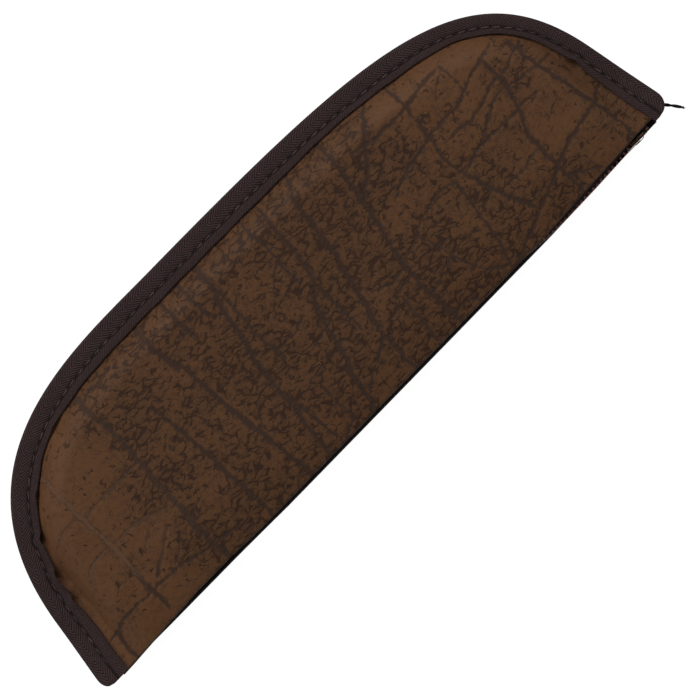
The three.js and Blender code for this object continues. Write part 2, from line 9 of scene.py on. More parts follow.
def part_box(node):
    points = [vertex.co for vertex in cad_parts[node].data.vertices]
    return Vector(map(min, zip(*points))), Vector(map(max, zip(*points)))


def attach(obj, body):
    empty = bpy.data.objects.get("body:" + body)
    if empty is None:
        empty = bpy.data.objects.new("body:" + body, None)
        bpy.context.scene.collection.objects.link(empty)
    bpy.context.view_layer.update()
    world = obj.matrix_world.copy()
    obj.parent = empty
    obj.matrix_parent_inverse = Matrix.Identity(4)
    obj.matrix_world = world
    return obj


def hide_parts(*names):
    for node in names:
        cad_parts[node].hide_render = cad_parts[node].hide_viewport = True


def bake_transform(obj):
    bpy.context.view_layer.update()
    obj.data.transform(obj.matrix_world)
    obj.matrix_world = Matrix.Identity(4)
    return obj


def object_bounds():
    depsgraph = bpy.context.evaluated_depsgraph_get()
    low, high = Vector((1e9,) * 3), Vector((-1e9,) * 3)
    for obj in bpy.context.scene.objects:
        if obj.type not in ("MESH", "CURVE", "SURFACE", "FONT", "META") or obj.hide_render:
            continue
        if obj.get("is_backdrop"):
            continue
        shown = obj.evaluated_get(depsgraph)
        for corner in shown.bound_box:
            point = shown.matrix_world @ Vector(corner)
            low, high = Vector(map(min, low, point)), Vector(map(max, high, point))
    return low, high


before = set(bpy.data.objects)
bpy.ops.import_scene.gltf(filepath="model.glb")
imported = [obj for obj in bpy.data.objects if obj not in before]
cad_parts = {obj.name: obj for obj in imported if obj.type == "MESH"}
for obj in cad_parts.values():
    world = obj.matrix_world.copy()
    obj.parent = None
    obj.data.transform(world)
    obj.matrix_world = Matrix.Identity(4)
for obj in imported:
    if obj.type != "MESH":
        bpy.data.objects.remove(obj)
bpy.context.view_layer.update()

# Paper pattern that both panels are cut to: a straight mouth, two raked ends with rounded feet
# and a long flat arch over them. Sizes are millimetres: x along the mouth, y from the mouth
# line, z from the table.
MM = 0.001
MOUTH_Y = -52.0
SEAM_Z = 10.0
CASE_LENGTH = 335.5
CASE_DEPTH = 107.7
LEFT_FOOT_RADIUS = 5.0
RIGHT_FOOT_RADIUS = 8.0
CORNER_REACH = 25.0
CURVE_POINTS = 420
HEAD_POINTS = 1200


def on_pattern(along, up):
    return np.array((along * CASE_LENGTH, up * CASE_DEPTH))


def cubic(a, b, c, d):
    t = np.linspace(0, 1, CURVE_POINTS)[:, None]
    return (1 - t) ** 3 * a + 3 * (1 - t) ** 2 * t * b + 3 * (1 - t) * t**2 * c + t**3 * d


def straight(a, d):
    return cubic(a, a + (d - a) / 3, a + (d - a) * 2 / 3, d)


left_foot = on_pattern(-0.4965, 0.0085)
left_knee = on_pattern(-0.4784, 0.337)
top = on_pattern(-0.0954, 1)
right_knee = on_pattern(0.4799, 0.3946)
right_foot = on_pattern(0.501, 0.0167)
trace = np.concatenate(
    (
        straight(left_foot, left_knee)[:-1],
        cubic(left_knee, on_pattern(-0.4349, 1.0585), on_pattern(-0.2247, 1), top)[:-1],
        cubic(top, on_pattern(0.3013, 1), on_pattern(0.4483, 0.9582), right_knee)[:-1],
        straight(right_knee, right_foot),
    )
)
run = np.concatenate(([0], np.cumsum(np.linalg.norm(np.diff(trace, axis=0), axis=1))))
EDGE_RUN = run[-1]
edge_tree = kdtree.KDTree(len(trace))
for index, (x, y) in enumerate(trace):
    edge_tree.insert((x, y, 0), index)
edge_tree.balance()


def ease(value, low, high):
    t = np.clip((value - low) / (high - low), 0, 1)
    return t * t * (3 - 2 * t)


def edge_place(x, y):
    """Distance of each point from the bound edge, and the run of the edge to its nearest place."""
    found = [edge_tree.find((a, b, 0)) for a, b in zip(x.ravel(), y.ravel())]
    away = np.array([place[2] for place in found]).reshape(x.shape)
    along = run[[place[1] for place in found]].reshape(x.shape)
    return away, along


def stations(count):
    """Points spaced along the bound edge, their inward directions and the rounding of the feet."""
    s = np.linspace(0, EDGE_RUN, count)
    at = np.stack((np.interp(s, run, trace[:, 0]), np.interp(s, run, trace[:, 1])), 1)
    along = np.gradient(at, axis=0)
    level = ease(at[:, 1], 0, CORNER_REACH)
    inward = np.stack((along[:, 1], -along[:, 0] * level), 1)
    inward /= np.linalg.norm(inward, axis=1)[:, None]
    foot = np.where(at[:, 0] < 0, left_foot[1], right_foot[1])
    radius = np.where(at[:, 0] < 0, LEFT_FOOT_RADIUS, RIGHT_FOOT_RADIUS)
    below = np.clip(radius - (at[:, 1] - foot), 0, radius)
    return s, at, inward, radius - np.sqrt(radius**2 - below**2)


# Panels: embossed vinyl in an elephant-hide grain, bonded to a layer of foam, cut to the pattern
# and turned in along the mouth. The foam swells them away from the bound edge, the mouth draws
# them down again, and the back one is flat where the case lies on it.
BINDING_WIDTH = 12.2
BOUND_HALF = 3.4
CORNER_SWELL = 2.8
MOUTH_RISE = 14.0
MOUTH_RISE_REACH = 40.0
PANEL_LEFT = -157.0
PANEL_RIGHT = 158.5
PANEL_INSET = 3.0
PANEL_STEP = 0.58
HEM_RADIUS = 1.3
TIGHT_HEM = 0.75
HEM_TURN = 10.0
VINYL = 1.2
PADDED = 4.1
HEM_ROWS = 6
ROLL_ROWS = 8
UNDER_ROWS = 12
WELD = 1e-7
LEAD = 3.5
TOP_LEAD = 0.3
LEAD_EASE = (30, 70)
TUCK = 0.3
GAP_SHARE = 0.9
WAVE_SIZE = (46, 34)
WAVE_SEED = 3.1
TIGHT_RIGHT = (82, 105)
TIGHT_LEFT = (118, 136)
CREASE_DEPTH = 0.28
CREASE_DRIFT = 0.7
CREASE_CELL = 5
CREASE_MARGIN = 4
RAGGED_SIZE = (1.5, 1.5)
GRAIN_FADE = (-3, 1)
PATCH_SIZE = (17, 13)
PATCH_SEED = 20
DRIFT_SEED = 4

front_half = {"sign": 1, "depth": 11.3, "rise": 12.0, "dip": 2.8, "dip_reach": 26.0, "wave": 0.3}
front_half["set_back"] = (
    (-150, 0.0), (-140, 0.4), (-130, 0.9), (-120, 1.3), (-110, 1.8), (-90, 1.8), (-80, 1.3),
    (-68, 1.0), (85, 1.0), (105, 1.9), (122, 2.6), (138, 3.2), (155, 3.7),
)
# How far the hand-guided binding reaches over the front panel, by the run of the edge
front_half["reach"] = (
    (0, 13.4), (24, 12.9), (42, 11.9), (64, 11.2), (100, 11.5), (120, 10.8), (138, 11.5),
    (170, 12.1), (264, 11.9), (296, 11.0), (328, 11.1), (344, 10.4), (360, 9.1), (392, 8.7),
    (424, 9.5), (442, 10.6), (476, 11.0),
)
back_half = {"sign": -1, "depth": 10.0, "rise": 20.0, "dip": 1.5, "dip_reach": 20.0, "wave": 0.0}
back_half["set_back"] = (
    (-157, -0.8), (-151, -0.6), (-145, -0.3), (-139, 0.0), (-130, -0.1), (-90, -0.2), (-70, -0.5),
    (-60, -0.7), (82, -0.7), (96, -0.65), (105, -0.4), (122, 0.1), (138, 0.75), (156, 1.1),
)
back_half["reach"] = ((0, BINDING_WIDTH), (476, BINDING_WIDTH))

# Places where the binding's inner edge lifts off the front panel: x, y, height and reach along it
LIFTS = (
    (-141, 10.5, 1.9, 2.8),
    (-147.6, -6, 2.0, 4.4),
    (-149, -17, 1.2, 3.0),
    (-129, 24.5, 0.9, 3.0),
    (-104, 38.5, 0.8, 3.5),
    (152, -10, 1.2, 3.0),
)

# Long creases of the front panel's grain: width, then points along the crease from the middle of
# the case
FRONT_CREASES = (
    (2.2, (-122, 30), (-122, 22), (-121.5, 10), (-122, -5), (-121, -15), (-122.5, -28), (-123, -38),
     (-123, -47)),
    (2.6, (-89, 46), (-88.5, 30), (-88, 18), (-89, 0), (-90.5, -12), (-91, -25), (-92, -35),
     (-91, -53)),
    (2.0, (-70, 16), (-69, 6), (-68, -4), (-67.5, -15), (-67, -25), (-66.5, -38), (-66.5, -53)),
    (1.6, (-150, -39), (-146, -38), (-140, -36.5), (-130, -36.3), (-120, -37), (-110, -37),
     (-103, -38.5), (-97, -41), (-90, -42), (-82, -43.5), (-75, -45.5)),
    (1.6, (-139, -20), (-136, -14.5), (-133, -12.5), (-128, -12), (-118, -12.8), (-110, -12.5),
     (-103, -14), (-94, -17.5)),
    (1.5, (-138, 3.5), (-133, 5), (-126, 6), (-118, 3.2), (-110, 4), (-100, 5), (-90, 4)),
    (1.6, (-117, -34), (-111, -30), (-105, -26), (-100, -22)),
    (1.2, (-109, -36), (-102, -32), (-97, -28)),
    (1.1, (-116, -24), (-109, -21), (-103, -16)),
    (1.7, (-145, -37.5), (-147, -43), (-146.5, -53)),
    (1.5, (-91, 33), (-88, 37), (-83, 39), (-77, 38), (-71, 40)),
    (2.8, (-52, 46), (-52.5, 36), (-52, 28), (-51, 18)),
    (2.4, (-49.5, 22), (-48.5, 8), (-48, -5), (-47, -15), (-45.5, -25), (-45, -35), (-44, -45),
     (-43, -53)),
    (2.2, (-37.5, 46), (-37, 35), (-37, 24)),
    (2.0, (-27, 45), (-27.3, 36), (-27, 26)),
    (3.2, (-17, 46), (-17, 36), (-17.5, 27)),
    (1.7, (-17.3, 29), (-17.5, 20), (-18, 10), (-19, 2), (-17.5, -5), (-17, -10)),
    (2.2, (-19.5, 29), (-22, 18), (-24, 8), (-26, 0), (-27.5, -8), (-28.5, -16), (-29.5, -25),
     (-31, -35), (-32, -45), (-32, -53)),
    (1.7, (-28, -18), (-27, -30), (-26, -40), (-25, -53)),
    (1.4, (-15, -28), (-15.5, -38), (-14, -45), (-17, -47), (-24, -50)),
    (1.7, (9, 46), (9, 34), (9.5, 25), (8.5, 15), (8.3, 8)),
    (2.0, (18.5, 44), (17.5, 33), (16.5, 27), (16.5, 18), (15, 12), (13.5, 6), (12.5, 2), (13, -6),
     (13, -13), (12.6, -24)),
    (2.0, (13, 4), (8.5, 0), (6, -5), (5, -9), (3.5, -14), (2, -19), (0.5, -25), (-2, -32), (-4, -38),
     (-5.5, -45), (-7, -53)),
    (2.3, (38, 46), (33, 37), (31, 33), (30, 27), (29, 20), (28, 11), (26, 3), (25, -3), (23.5, -9),
     (21.5, -15), (19.5, -22), (18, -28), (17, -33), (17, -40), (17, -53)),
    (1.5, (18, -31), (12, -34.5), (7, -37.5), (2, -40), (-4, -43)),
    (2.3, (54.5, 46), (54, 36), (53, 28), (52, 22), (50.5, 14), (49, 8), (48, 1), (46.5, -5),
     (44.5, -12), (43, -20), (42.5, -28), (43, -38), (43.5, -53)),
    (1.5, (26, -15), (32, -18.5), (40, -19), (43, -17.5), (50, -15), (56, -13), (60, -10.5),
     (66, -8.5), (72, -7), (76, -6.7), (82, -9)),
    (1.7, (33.5, -26), (33, -35), (32, -42), (31, -49)),
    (1.2, (27, -28.5), (33, -24), (38, -22.5), (43, -22)),
    (1.4, (42, -34.5), (50, -32), (55, -29.5), (62, -28.5), (68, -27.5), (76, -28.5)),
    (2.0, (49, 11), (54, 15.5), (58, 18), (62, 21), (66, 26), (69, 30), (73, 34), (77, 38), (81, 43)),
    (1.9, (60, 29.5), (70, 27), (80, 26.5), (90, 26.5), (96, 27), (102, 28.5), (110, 29)),
    (1.9, (90, 42), (90, 30), (89.5, 24), (89, 16), (87.5, 8), (85.5, 2), (86, -4), (88, -12),
     (90, -18), (92, -25), (94, -32), (97, -38), (99, -41)),
    (1.6, (59, 3), (66, 6.5), (72, 9), (80, 9.5), (88, 11.5), (96, 12), (104, 12), (110, 13.5),
     (116, 16), (121, 18), (126, 18.5), (133, 21)),
    (1.4, (91, 5), (97, 5), (104, 4), (111, 5), (116, 6.5), (121, 8.5), (129, 8), (135, 10.5),
     (143, 13)),
    (1.5, (103, -4), (108, -1.5), (112, 0.5), (117, 3), (121, 4), (125, 3.5), (129, 1.5), (135, 1),
     (142, 0.5), (150, 0)),
    (1.5, (84, -10.5), (92, -8), (98, -6), (105, -5.8), (112, -6.2), (119, -6.7), (126, -6.5),
     (133, -8)),
    (2.2, (125, 19), (125.5, 10), (125, 5), (123.5, 0), (121.5, -6), (119, -12), (116.5, -18),
     (116, -26), (116.5, -34), (116.5, -42), (116, -53)),
    (2.0, (139, 17), (139, 5), (140.5, -3), (142, -11), (143.5, -19), (145, -27), (146.5, -35),
     (147, -42), (147.5, -53)),
    (1.9, (73, -51), (82, -48), (90, -45), (98, -42), (106, -38.5), (114, -35.5), (121, -32.5),
     (130, -29.5), (138, -28.5), (146, -27), (149, -24.5), (154, -22.5)),
    (1.5, (117, -40), (123, -44), (128, -46.5), (133, -52)),
    (1.7, (81.5, -7), (82.5, -12), (81, -18), (79.5, -25), (78.5, -32), (77, -40), (75, -46),
     (73, -53)),
    (1.4, (60, -29), (62, -35), (64, -40), (66.5, -44), (70, -46.5), (75, -48)),
    (1.2, (100, 19), (104, 23.5), (109, 26)),
    (1.3, (111, 29), (112, 20), (111.5, 12)),
    (1.2, (43, -46.5), (50, -45.5), (56, -49)),
    (1.3, (56, -13), (58, -20), (60, -29)),
    (1.1, (79, -25.5), (86, -24), (91, -20.5)),
    (1.1, (96, -23.5), (103, -26), (110, -24.5), (116, -22.5)),
    (1.2, (-18, -4.5), (-8, -5.5), (-4, -4), (1, -2.5)),
    (1.2, (-1, 13), (3, 17), (8, 20)),
    (1.0, (-11, -17.5), (-5, -14), (1, -13.2)),
)
# The back panel is cut from the same roll, further along, so its creases fall the other way round
BACK_CREASES = tuple((w, *((-0.94 * x + 6, 0.9 * y - 3) for x, y in line)) for w, *line in FRONT_CREASES)

panel_x = np.linspace(PANEL_LEFT, PANEL_RIGHT, int((PANEL_RIGHT - PANEL_LEFT) / PANEL_STEP) + 1)
_, at, inward, _ = stations(HEAD_POINTS)
head_line = at + inward * PANEL_INSET
panel_head = np.interp(panel_x, head_line[:, 0], head_line[:, 1])


def mouth_edge(half, x):
    """How far a hem stands back from the mouth line, most at the closed end of the zip."""
    return np.interp(x, *zip(*half["set_back"]))


def bound_reach(half, along):
    return np.interp(along, *zip(*half["reach"]))


def bound_half(y):
    return BOUND_HALF + CORNER_SWELL * np.clip(1 - y / CORNER_REACH, 0, 1)


def swell(half, x, y):
    """Share of a half's full depth, from none at the binding to all well inside it."""
    reach = MOUTH_RISE + (half["rise"] - MOUTH_RISE) * ease(y, 0, MOUTH_RISE_REACH)
    lead = LEAD + (TOP_LEAD - LEAD) * ease(y, *LEAD_EASE)
    away, along = edge_place(x, y)
    inside = np.clip((away - bound_reach(half, along) - lead) / reach, 0, 1)
    return 1 - (1 - inside) ** 2


def full_depth(half, y):
    return half["depth"] - half["dip"] * np.clip(1 - y / half["dip_reach"], 0, 1) ** 2


def ripple(x, y, size, seed):
    """Smooth noise at each point, with hills of the given size in millimetres."""
    hills = [noise.noise((a / size[0], b / size[1], seed)) for a, b in zip(x.ravel(), y.ravel())]
    return np.array(hills).reshape(x.shape)


def panel_face(half, x, y):
    """Depth of a panel's outer face from the seam plane, without its grain."""
    bound = bound_half(y) - VINYL + TUCK
    full = full_depth(half, y) + half["wave"] * ripple(x, y, WAVE_SIZE, WAVE_SEED)
    return bound + (full - bound) * swell(half, x, y) - GAP_SHARE * lifted(half, x, y)


def lifted(half, x, y):
    """Height of the gaps under the lifted places of the binding."""
    rise = np.zeros(x.shape)
    if half["sign"] > 0:
        for lift_x, lift_y, height, reach in LIFTS:
            rise += height * np.exp(-(((x - lift_x) ** 2 + (y + MOUTH_Y - lift_y) ** 2) / reach**2))
    return rise


# Seeds the noise by which the creases drift, so that every run gives the same ones
noise.seed_set(DRIFT_SEED)


def rounded(line):
    """A crease's points with their corners cut twice."""
    points = np.array(line, float)
    for _ in range(2):
        near = points[:-1] * 0.75 + points[1:] * 0.25
        far = points[:-1] * 0.25 + points[1:] * 0.75
        middle = np.stack((near, far), 1).reshape(-1, 2)
        points = np.concatenate((points[:1], middle, points[-1:]))
    return points


def creases(lines, x, y, seed):
    """Strength of the long creases at each point, from 0 on the open grain to 1 in a crease."""
    flat = zip(x.ravel() / CREASE_CELL, y.ravel() / CREASE_CELL)
    drift = np.array([noise.noise_vector((a, b, seed)) for a, b in flat])
    fine = ripple(x, y, RAGGED_SIZE, seed).ravel()
    px = x.ravel() + CREASE_DRIFT * drift[:, 0]
    py = y.ravel() + MOUTH_Y + CREASE_DRIFT * drift[:, 1]
    strength = np.zeros(len(px))
    for width, *line in lines:
        points = rounded(line)
        low = points.min(0) - CREASE_MARGIN
        high = points.max(0) + CREASE_MARGIN
        near = np.flatnonzero((px > low[0]) & (px < high[0]) & (py > low[1]) & (py < high[1]))
        spot = np.stack((px[near], py[near]), 1)
        best = np.full(len(near), 1e9)
        share = np.zeros(len(near))
        count = len(points) - 1
        for k in range(count):
            step = points[k + 1] - points[k]
            t = np.clip(((spot - points[k]) @ step) / (step @ step), 0, 1)
            gap = np.linalg.norm(spot - points[k] - t[:, None] * step, axis=1)
            closer = gap < best
            best[closer] = gap[closer]
            share[closer] = (k + t[closer]) / count
        taper = 0.35 + 0.65 * ease(share * (1 - share), 0, 0.1)
        half_width = np.maximum(width / 2 * (1.15 + 1.1 * fine[near]) * taper, 0.15)
        value = np.exp(-((best / half_width) ** 2) * 1.1) * min(1, 0.35 + width / 3.2)
        strength[near] = np.maximum(strength[near], value)
    return strength.reshape(x.shape)


def wrinkled(x, y, seed, sign):
    """How thickly the short wrinkles lie, from smooth at the case's ends to a close net between."""
    left = ease(sign * x, -118, -84)
    right = 1 - 0.3 * ease(sign * x, 70, 100) - 0.45 * ease(sign * x + y, 135, 180)
    return np.clip(0.08 + 0.84 * left * right + 0.75 * ripple(x, y, PATCH_SIZE, seed), 0, 1)


def sheet(shape, columns, rows):
    """Lays a grid into a shape and lists its points, each with its column and row."""
    made = bmesh.ops.create_grid(shape, x_segments=columns, y_segments=rows, size=1)["verts"]
    return [(v, round((v.co.x + 1) / 2 * columns), round((v.co.y + 1) / 2 * rows)) for v in made]


def close_shape(shape):
    bmesh.ops.remove_doubles(shape, verts=shape.verts, dist=WELD)
    bmesh.ops.holes_fill(shape, edges=[e for e in shape.edges if e.is_boundary], sides=0)
    bmesh.ops.recalc_face_normals(shape, faces=shape.faces)
    return shape


def panel_mesh(half, lines, seed):
    """One panel as a closed shell: under side, turned hem, rolled mouth edge and grained face."""
    face_rows = int(panel_head.max() / PANEL_STEP)
    tight = np.maximum(ease(panel_x, *TIGHT_RIGHT), ease(-panel_x, *TIGHT_LEFT))
    hem_roll = HEM_RADIUS + (TIGHT_HEM - HEM_RADIUS) * tight
    start = mouth_edge(half, panel_x) + hem_roll
    across = np.repeat(panel_x[None], face_rows + 1, 0)
    up = start + (panel_head - start) * np.linspace(0, 1, face_rows + 1)[:, None]
    face = panel_face(half, across, up)
    crease = creases(lines, across, up, seed)
    dense = wrinkled(across, up, seed + PATCH_SEED, half["sign"])
    away, along = edge_place(across, up)
    grained = face - crease * CREASE_DEPTH * ease(away - bound_reach(half, along), *GRAIN_FADE)

    turn_end = start + HEM_TURN - hem_roll
    under_up = panel_head + (turn_end - panel_head) * np.linspace(0, 1, UNDER_ROWS + 1)[:-1, None]
    under_x = across[:UNDER_ROWS]
    thick = VINYL + (PADDED - VINYL) * swell(half, under_x, under_up)
    under = panel_face(half, under_x, under_up) - thick
    under[0] = grained[-1]
    hem_up = turn_end + (start - turn_end) * np.linspace(0, 1, HEM_ROWS + 1)[:-1, None]
    hem = panel_face(half, across[:HEM_ROWS], hem_up) - 2 * hem_roll
    turn = np.linspace(math.pi, 0, ROLL_ROWS + 1)[:-1, None]
    roll_up = start - hem_roll * np.sin(turn)
    roll = face[0] - hem_roll + hem_roll * np.cos(turn)

    y = np.concatenate((under_up, hem_up, roll_up, up)) + MOUTH_Y
    z = SEAM_Z + half["sign"] * np.concatenate((under, hem, roll, grained))
    hidden = np.zeros((UNDER_ROWS + HEM_ROWS, len(panel_x)))
    crease = np.concatenate((hidden, np.repeat(crease[:1], ROLL_ROWS, 0), crease))
    dense = np.concatenate((hidden, np.repeat(dense[:1], ROLL_ROWS, 0), dense))
    # The hem and most of the roll are marked for painted shade, which tints the mouth edge nearly black
    mouth_shade_end = UNDER_ROWS + HEM_ROWS + ROLL_ROWS - 2
    shell = bmesh.new()
    crease_layer = shell.verts.layers.float.new("crease")
    dense_layer = shell.verts.layers.float.new("wrinkled")
    mouth_shade_layer = shell.verts.layers.float.new("mouth_shade")
    for v, i, k in sheet(shell, len(panel_x) - 1, len(y) - 1):
        v.co = (panel_x[i] * MM, y[k, i] * MM, z[k, i] * MM)
        v[crease_layer] = crease[k, i]
        v[dense_layer] = dense[k, i]
        v[mouth_shade_layer] = float(UNDER_ROWS <= k < mouth_shade_end)
    return close_shape(shell)


def linear(code):
    """An sRGB hex colour as linear red, green, blue and alpha."""
    parts = [int(code[k : k + 2], 16) / 255 for k in (1, 3, 5)]
    return (*((c / 12.92 if c <= 0.04045 else ((c + 0.055) / 1.055) ** 2.4) for c in parts), 1.0)


def add(tree, kind, inputs=None, **settings):
    """Adds a node with its settings; an input is a value or the output that feeds it."""
    made = tree.nodes.new(kind)
    for key, value in settings.items():
        setattr(made, key, value)
    for key, value in (inputs or {}).items():
        if isinstance(value, bpy.types.NodeSocket):
            tree.links.new(value, made.inputs[key])
        else:
            made.inputs[key].default_value = value
    return made


def object_place(tree):
    return add(tree, "ShaderNodeTexCoord").outputs["Object"]


def marked(tree, name):
    return add(tree, "ShaderNodeAttribute", attribute_name=name).outputs["Fac"]


def spots(tree, place, size, detail, output="Fac"):
    """Noise with spots of about the given size in millimetres."""
    inputs = {"Vector": place, "Scale": 1 / (size * MM), "Detail": detail}
    return add(tree, "ShaderNodeTexNoise", inputs).outputs[output]


def calc(tree, operation, *values, kind="ShaderNodeMath"):
    return add(tree, kind, dict(enumerate(values)), operation=operation).outputs[0]


def ramp(tree, value, low, high, start=0.0, end=1.0, curve="LINEAR"):
    """Turns a value that runs from low to high into one that runs from start to end."""
    inputs = {"Value": value, 1: low, 2: high, 3: start, 4: end}
    return add(tree, "ShaderNodeMapRange", inputs, interpolation_type=curve).outputs["Result"]


def tint(tree, share, first, second):
    """Mixes two colours, each a hex code or the output that feeds it."""
    first, second = (linear(c) if isinstance(c, str) else c for c in (first, second))
    return add(tree, "ShaderNodeMix", {0: share, 6: first, 7: second}, data_type="RGBA").outputs[2]


def relief(tree, height, strength, depth):
    inputs = {"Strength": strength, "Distance": depth * MM, "Height": height}
    return add(tree, "ShaderNodeBump", inputs).outputs[0]


def coat(tree, inputs):
    """Ends a material in one principled shader."""
    skin = add(tree, "ShaderNodeBsdfPrincipled", inputs)
    add(tree, "ShaderNodeOutputMaterial", {"Surface": skin.outputs[0]})


def new_material(name):
    made = bpy.data.materials.new(name)
    made.use_nodes = True
    made.node_tree.nodes.clear()
    return made, made.node_tree


def finish_piece(name, shape, material):
    mesh = bpy.data.meshes.new(name)
    shape.to_mesh(mesh)
    shape.free()
    mesh.materials.append(material)
    for polygon in mesh.polygons:
        polygon.use_smooth = True
    made = bpy.data.objects.new(name, mesh)
    bpy.context.scene.collection.objects.link(made)
    return made


# Embossed vinyl, calendered with a hide grain: dull warm brown on the raised fields, with short
# dark wrinkles in a net between them, each in a soft halo of painted shade, flat greyish bands
# where the roll pressed creases in, and a turned mouth edge tinted nearly black as painted shade
CLOUD = 30
MOTTLE = 2.4
PORE = 0.7
WRINKLE_CELL = (5.0, 2.6)
WRINKLE_DRIFT = (10.0, 6.5, 0.0)
DRIFT_SPOT = 6
BREAK_SPOT = 3.4
PALE_END = (-0.118, -0.086)
PALE_ABOVE = (-0.034, -0.022)
embossed_vinyl, tree = new_material("embossed_vinyl")
place = object_place(tree)
mark = marked(tree, "crease")
dense = marked(tree, "wrinkled")
mottle = spots(tree, place, MOTTLE, 4)
# Short wrinkles: edges of stretched cells, broken up, and wider where they lie thickly, each with a soft
# halo of painted shade
drift = spots(tree, place, DRIFT_SPOT, 4, "Color")
drift = calc(tree, "SUBTRACT", drift, (0.5, 0.5, 0.5), kind="ShaderNodeVectorMath")
sway = tuple(size * MM for size in WRINKLE_DRIFT)
spot = calc(tree, "MULTIPLY_ADD", drift, sway, place, kind="ShaderNodeVectorMath")
net = (1 / (WRINKLE_CELL[0] * MM), 1 / (WRINKLE_CELL[1] * MM), 0)
spot = calc(tree, "MULTIPLY", spot, net, kind="ShaderNodeVectorMath")
cells = {"Vector": spot, "Scale": 1.0}
cells = add(tree, "ShaderNodeTexVoronoi", cells, feature="DISTANCE_TO_EDGE", voronoi_dimensions="2D")
away = cells.outputs["Distance"]
broken = calc(tree, "MULTIPLY_ADD", spots(tree, place, BREAK_SPOT, 2), 1.9, -0.6)
broken = calc(tree, "MULTIPLY_ADD", dense, 0.45, broken)
wide = ramp(tree, broken, 0.6, 1.04, 0.001, 0.4)
core = calc(tree, "MULTIPLY", wide, 0.1)
wrinkle = ramp(tree, away, core, wide, 1, 0, "SMOOTHSTEP")
# Painted shade: a soft dark halo round each wrinkle, as if shade lay in its hollow
wrinkle_shade_halo = ramp(tree, away, 0, calc(tree, "MULTIPLY", wide, 2.6), 0.3, 0, "SMOOTHSTEP")
wrinkle = calc(tree, "MAXIMUM", wrinkle, wrinkle_shade_halo)
# Pressed creases: a ragged band along each, paler on the upper part of the left end
ragged = calc(tree, "MULTIPLY_ADD", mottle, 1.5, mark)
band = ramp(tree, ragged, 0.85, 1.5, 0, 0.9, "SMOOTHSTEP")
split = add(tree, "ShaderNodeSeparateXYZ", {0: place}).outputs
pale = ramp(tree, split["X"], *PALE_END, 1, 0)
pale = calc(tree, "MULTIPLY", pale, ramp(tree, split["Y"], *PALE_ABOVE))
pale = calc(tree, "MULTIPLY", pale, ramp(tree, mark, 0.35, 0.8))
# Raised fields: clouded brown, darker among the wrinkles, with specks of grit
field = tint(tree, spots(tree, place, CLOUD, 3), "#482e1b", "#503520")
field = tint(tree, calc(tree, "MULTIPLY", dense, 0.7), field, "#422b19")
grit = calc(tree, "ADD", mottle, spots(tree, place, PORE, 2))
most = ramp(tree, dense, 0.1, 0.6, 0.45, 0.95)
field = tint(tree, ramp(tree, grit, 0.92, 1.28, 0, most), field, "#312014")
netted = tint(tree, wrinkle, field, "#29190f")
pressed = tint(tree, pale, "#2d2019", "#493425")
hide = tint(tree, band, netted, pressed)
# Painted shade: the turned mouth edge is tinted nearly black
hide = tint(tree, marked(tree, "mouth_shade"), hide, "#130b08")
gloss = ramp(tree, mark, 0, 1, 0.66, 0.85)
height = calc(tree, "SUBTRACT", calc(tree, "MULTIPLY", grit, 0.4), wrinkle)
grain = relief(tree, height, 0.55, 0.3)
coat(tree, {"Base Color": hide, "Roughness": gloss, "Normal": grain, "Specular IOR Level": 0.11})

PANELS = ((back_half, BACK_CREASES, 7.3, "back"), (front_half, FRONT_CREASES, 1.7, "front"))
for half, lines, seed, side in PANELS:
    panel = finish_piece(f"{side}_panel", panel_mesh(half, lines, seed), embossed_vinyl)
    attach(panel, "case")
    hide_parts(f"{side}_skin", f"{side}_padding")

# Linings: brushed fleece laid inside each panel, caught in the bound edge and hemmed short of
# the zip, so that blades lie on pile. They part in the middle of the case to make the pocket.
LINING = 2.5
LINING_PRESSED = 0.65
LINING_FROM_MOUTH = 11.5
LINING_FROM_END = 6
LINING_FROM_HEAD = 2
LINING_STEP = 1.5
LINING_ROWS = 44
LOOSE = 0.7
POCKET_HALF = 0.15
TUFT_SIZE = (3, 3)
TUFT_HEIGHT = 0.12
NAP = 1.2
TUFT_SPOT = 6

brushed_fleece, tree = new_material("brushed_fleece")
place = object_place(tree)
pile = tint(tree, spots(tree, place, TUFT_SPOT, 3), "#4a3020", "#6a4731")
nap = relief(tree, spots(tree, place, NAP, 5), 0.6, 0.6)
coat(tree, {"Base Color": pile, "Roughness": 0.95, "Normal": nap, "Sheen Weight": 0.12})

lining_count = int((PANEL_RIGHT - PANEL_LEFT) / LINING_STEP)
lining_x = np.linspace(PANEL_LEFT + LINING_FROM_END, PANEL_RIGHT - LINING_FROM_END, lining_count)
lining_head = np.interp(lining_x, head_line[:, 0], head_line[:, 1]) - LINING_FROM_HEAD


def lining_mesh(half, seed):
    """A lining as a closed thin pad: outer face, thinned free edge and brushed inner face."""
    share = np.linspace(0, 1, LINING_ROWS + 1)[:, None]
    up = lining_head + (LINING_FROM_MOUTH - lining_head) * share
    across = np.repeat(lining_x[None], LINING_ROWS + 1, 0)
    full = swell(half, across, up)
    inner_full = full_depth(half, up) - PADDED - LINING - LOOSE
    inner = POCKET_HALF + (inner_full - POCKET_HALF) * full
    thick = LINING_PRESSED + (LINING - LINING_PRESSED) * full * (1 - 0.7 * share**12)
    pile = inner + TUFT_HEIGHT * full * ripple(across, up, TUFT_SIZE, seed)
    y = np.concatenate((up, up[::-1])) + MOUTH_Y
    z = SEAM_Z + half["sign"] * np.concatenate((inner + thick, pile[::-1]))
    z[-1] = z[0]
    pad = bmesh.new()
    for v, i, k in sheet(pad, len(lining_x) - 1, len(y) - 1):
        v.co = (lining_x[i] * MM, y[k, i] * MM, z[k, i] * MM)
    return close_shape(pad)


for half, seed, side in ((back_half, 2.2, "back"), (front_half, 5.4, "front")):
    lining = finish_piece(f"{side}_fleece", lining_mesh(half, seed), brushed_fleece)
    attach(lining, "case")
    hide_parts(f"{side}_lining")

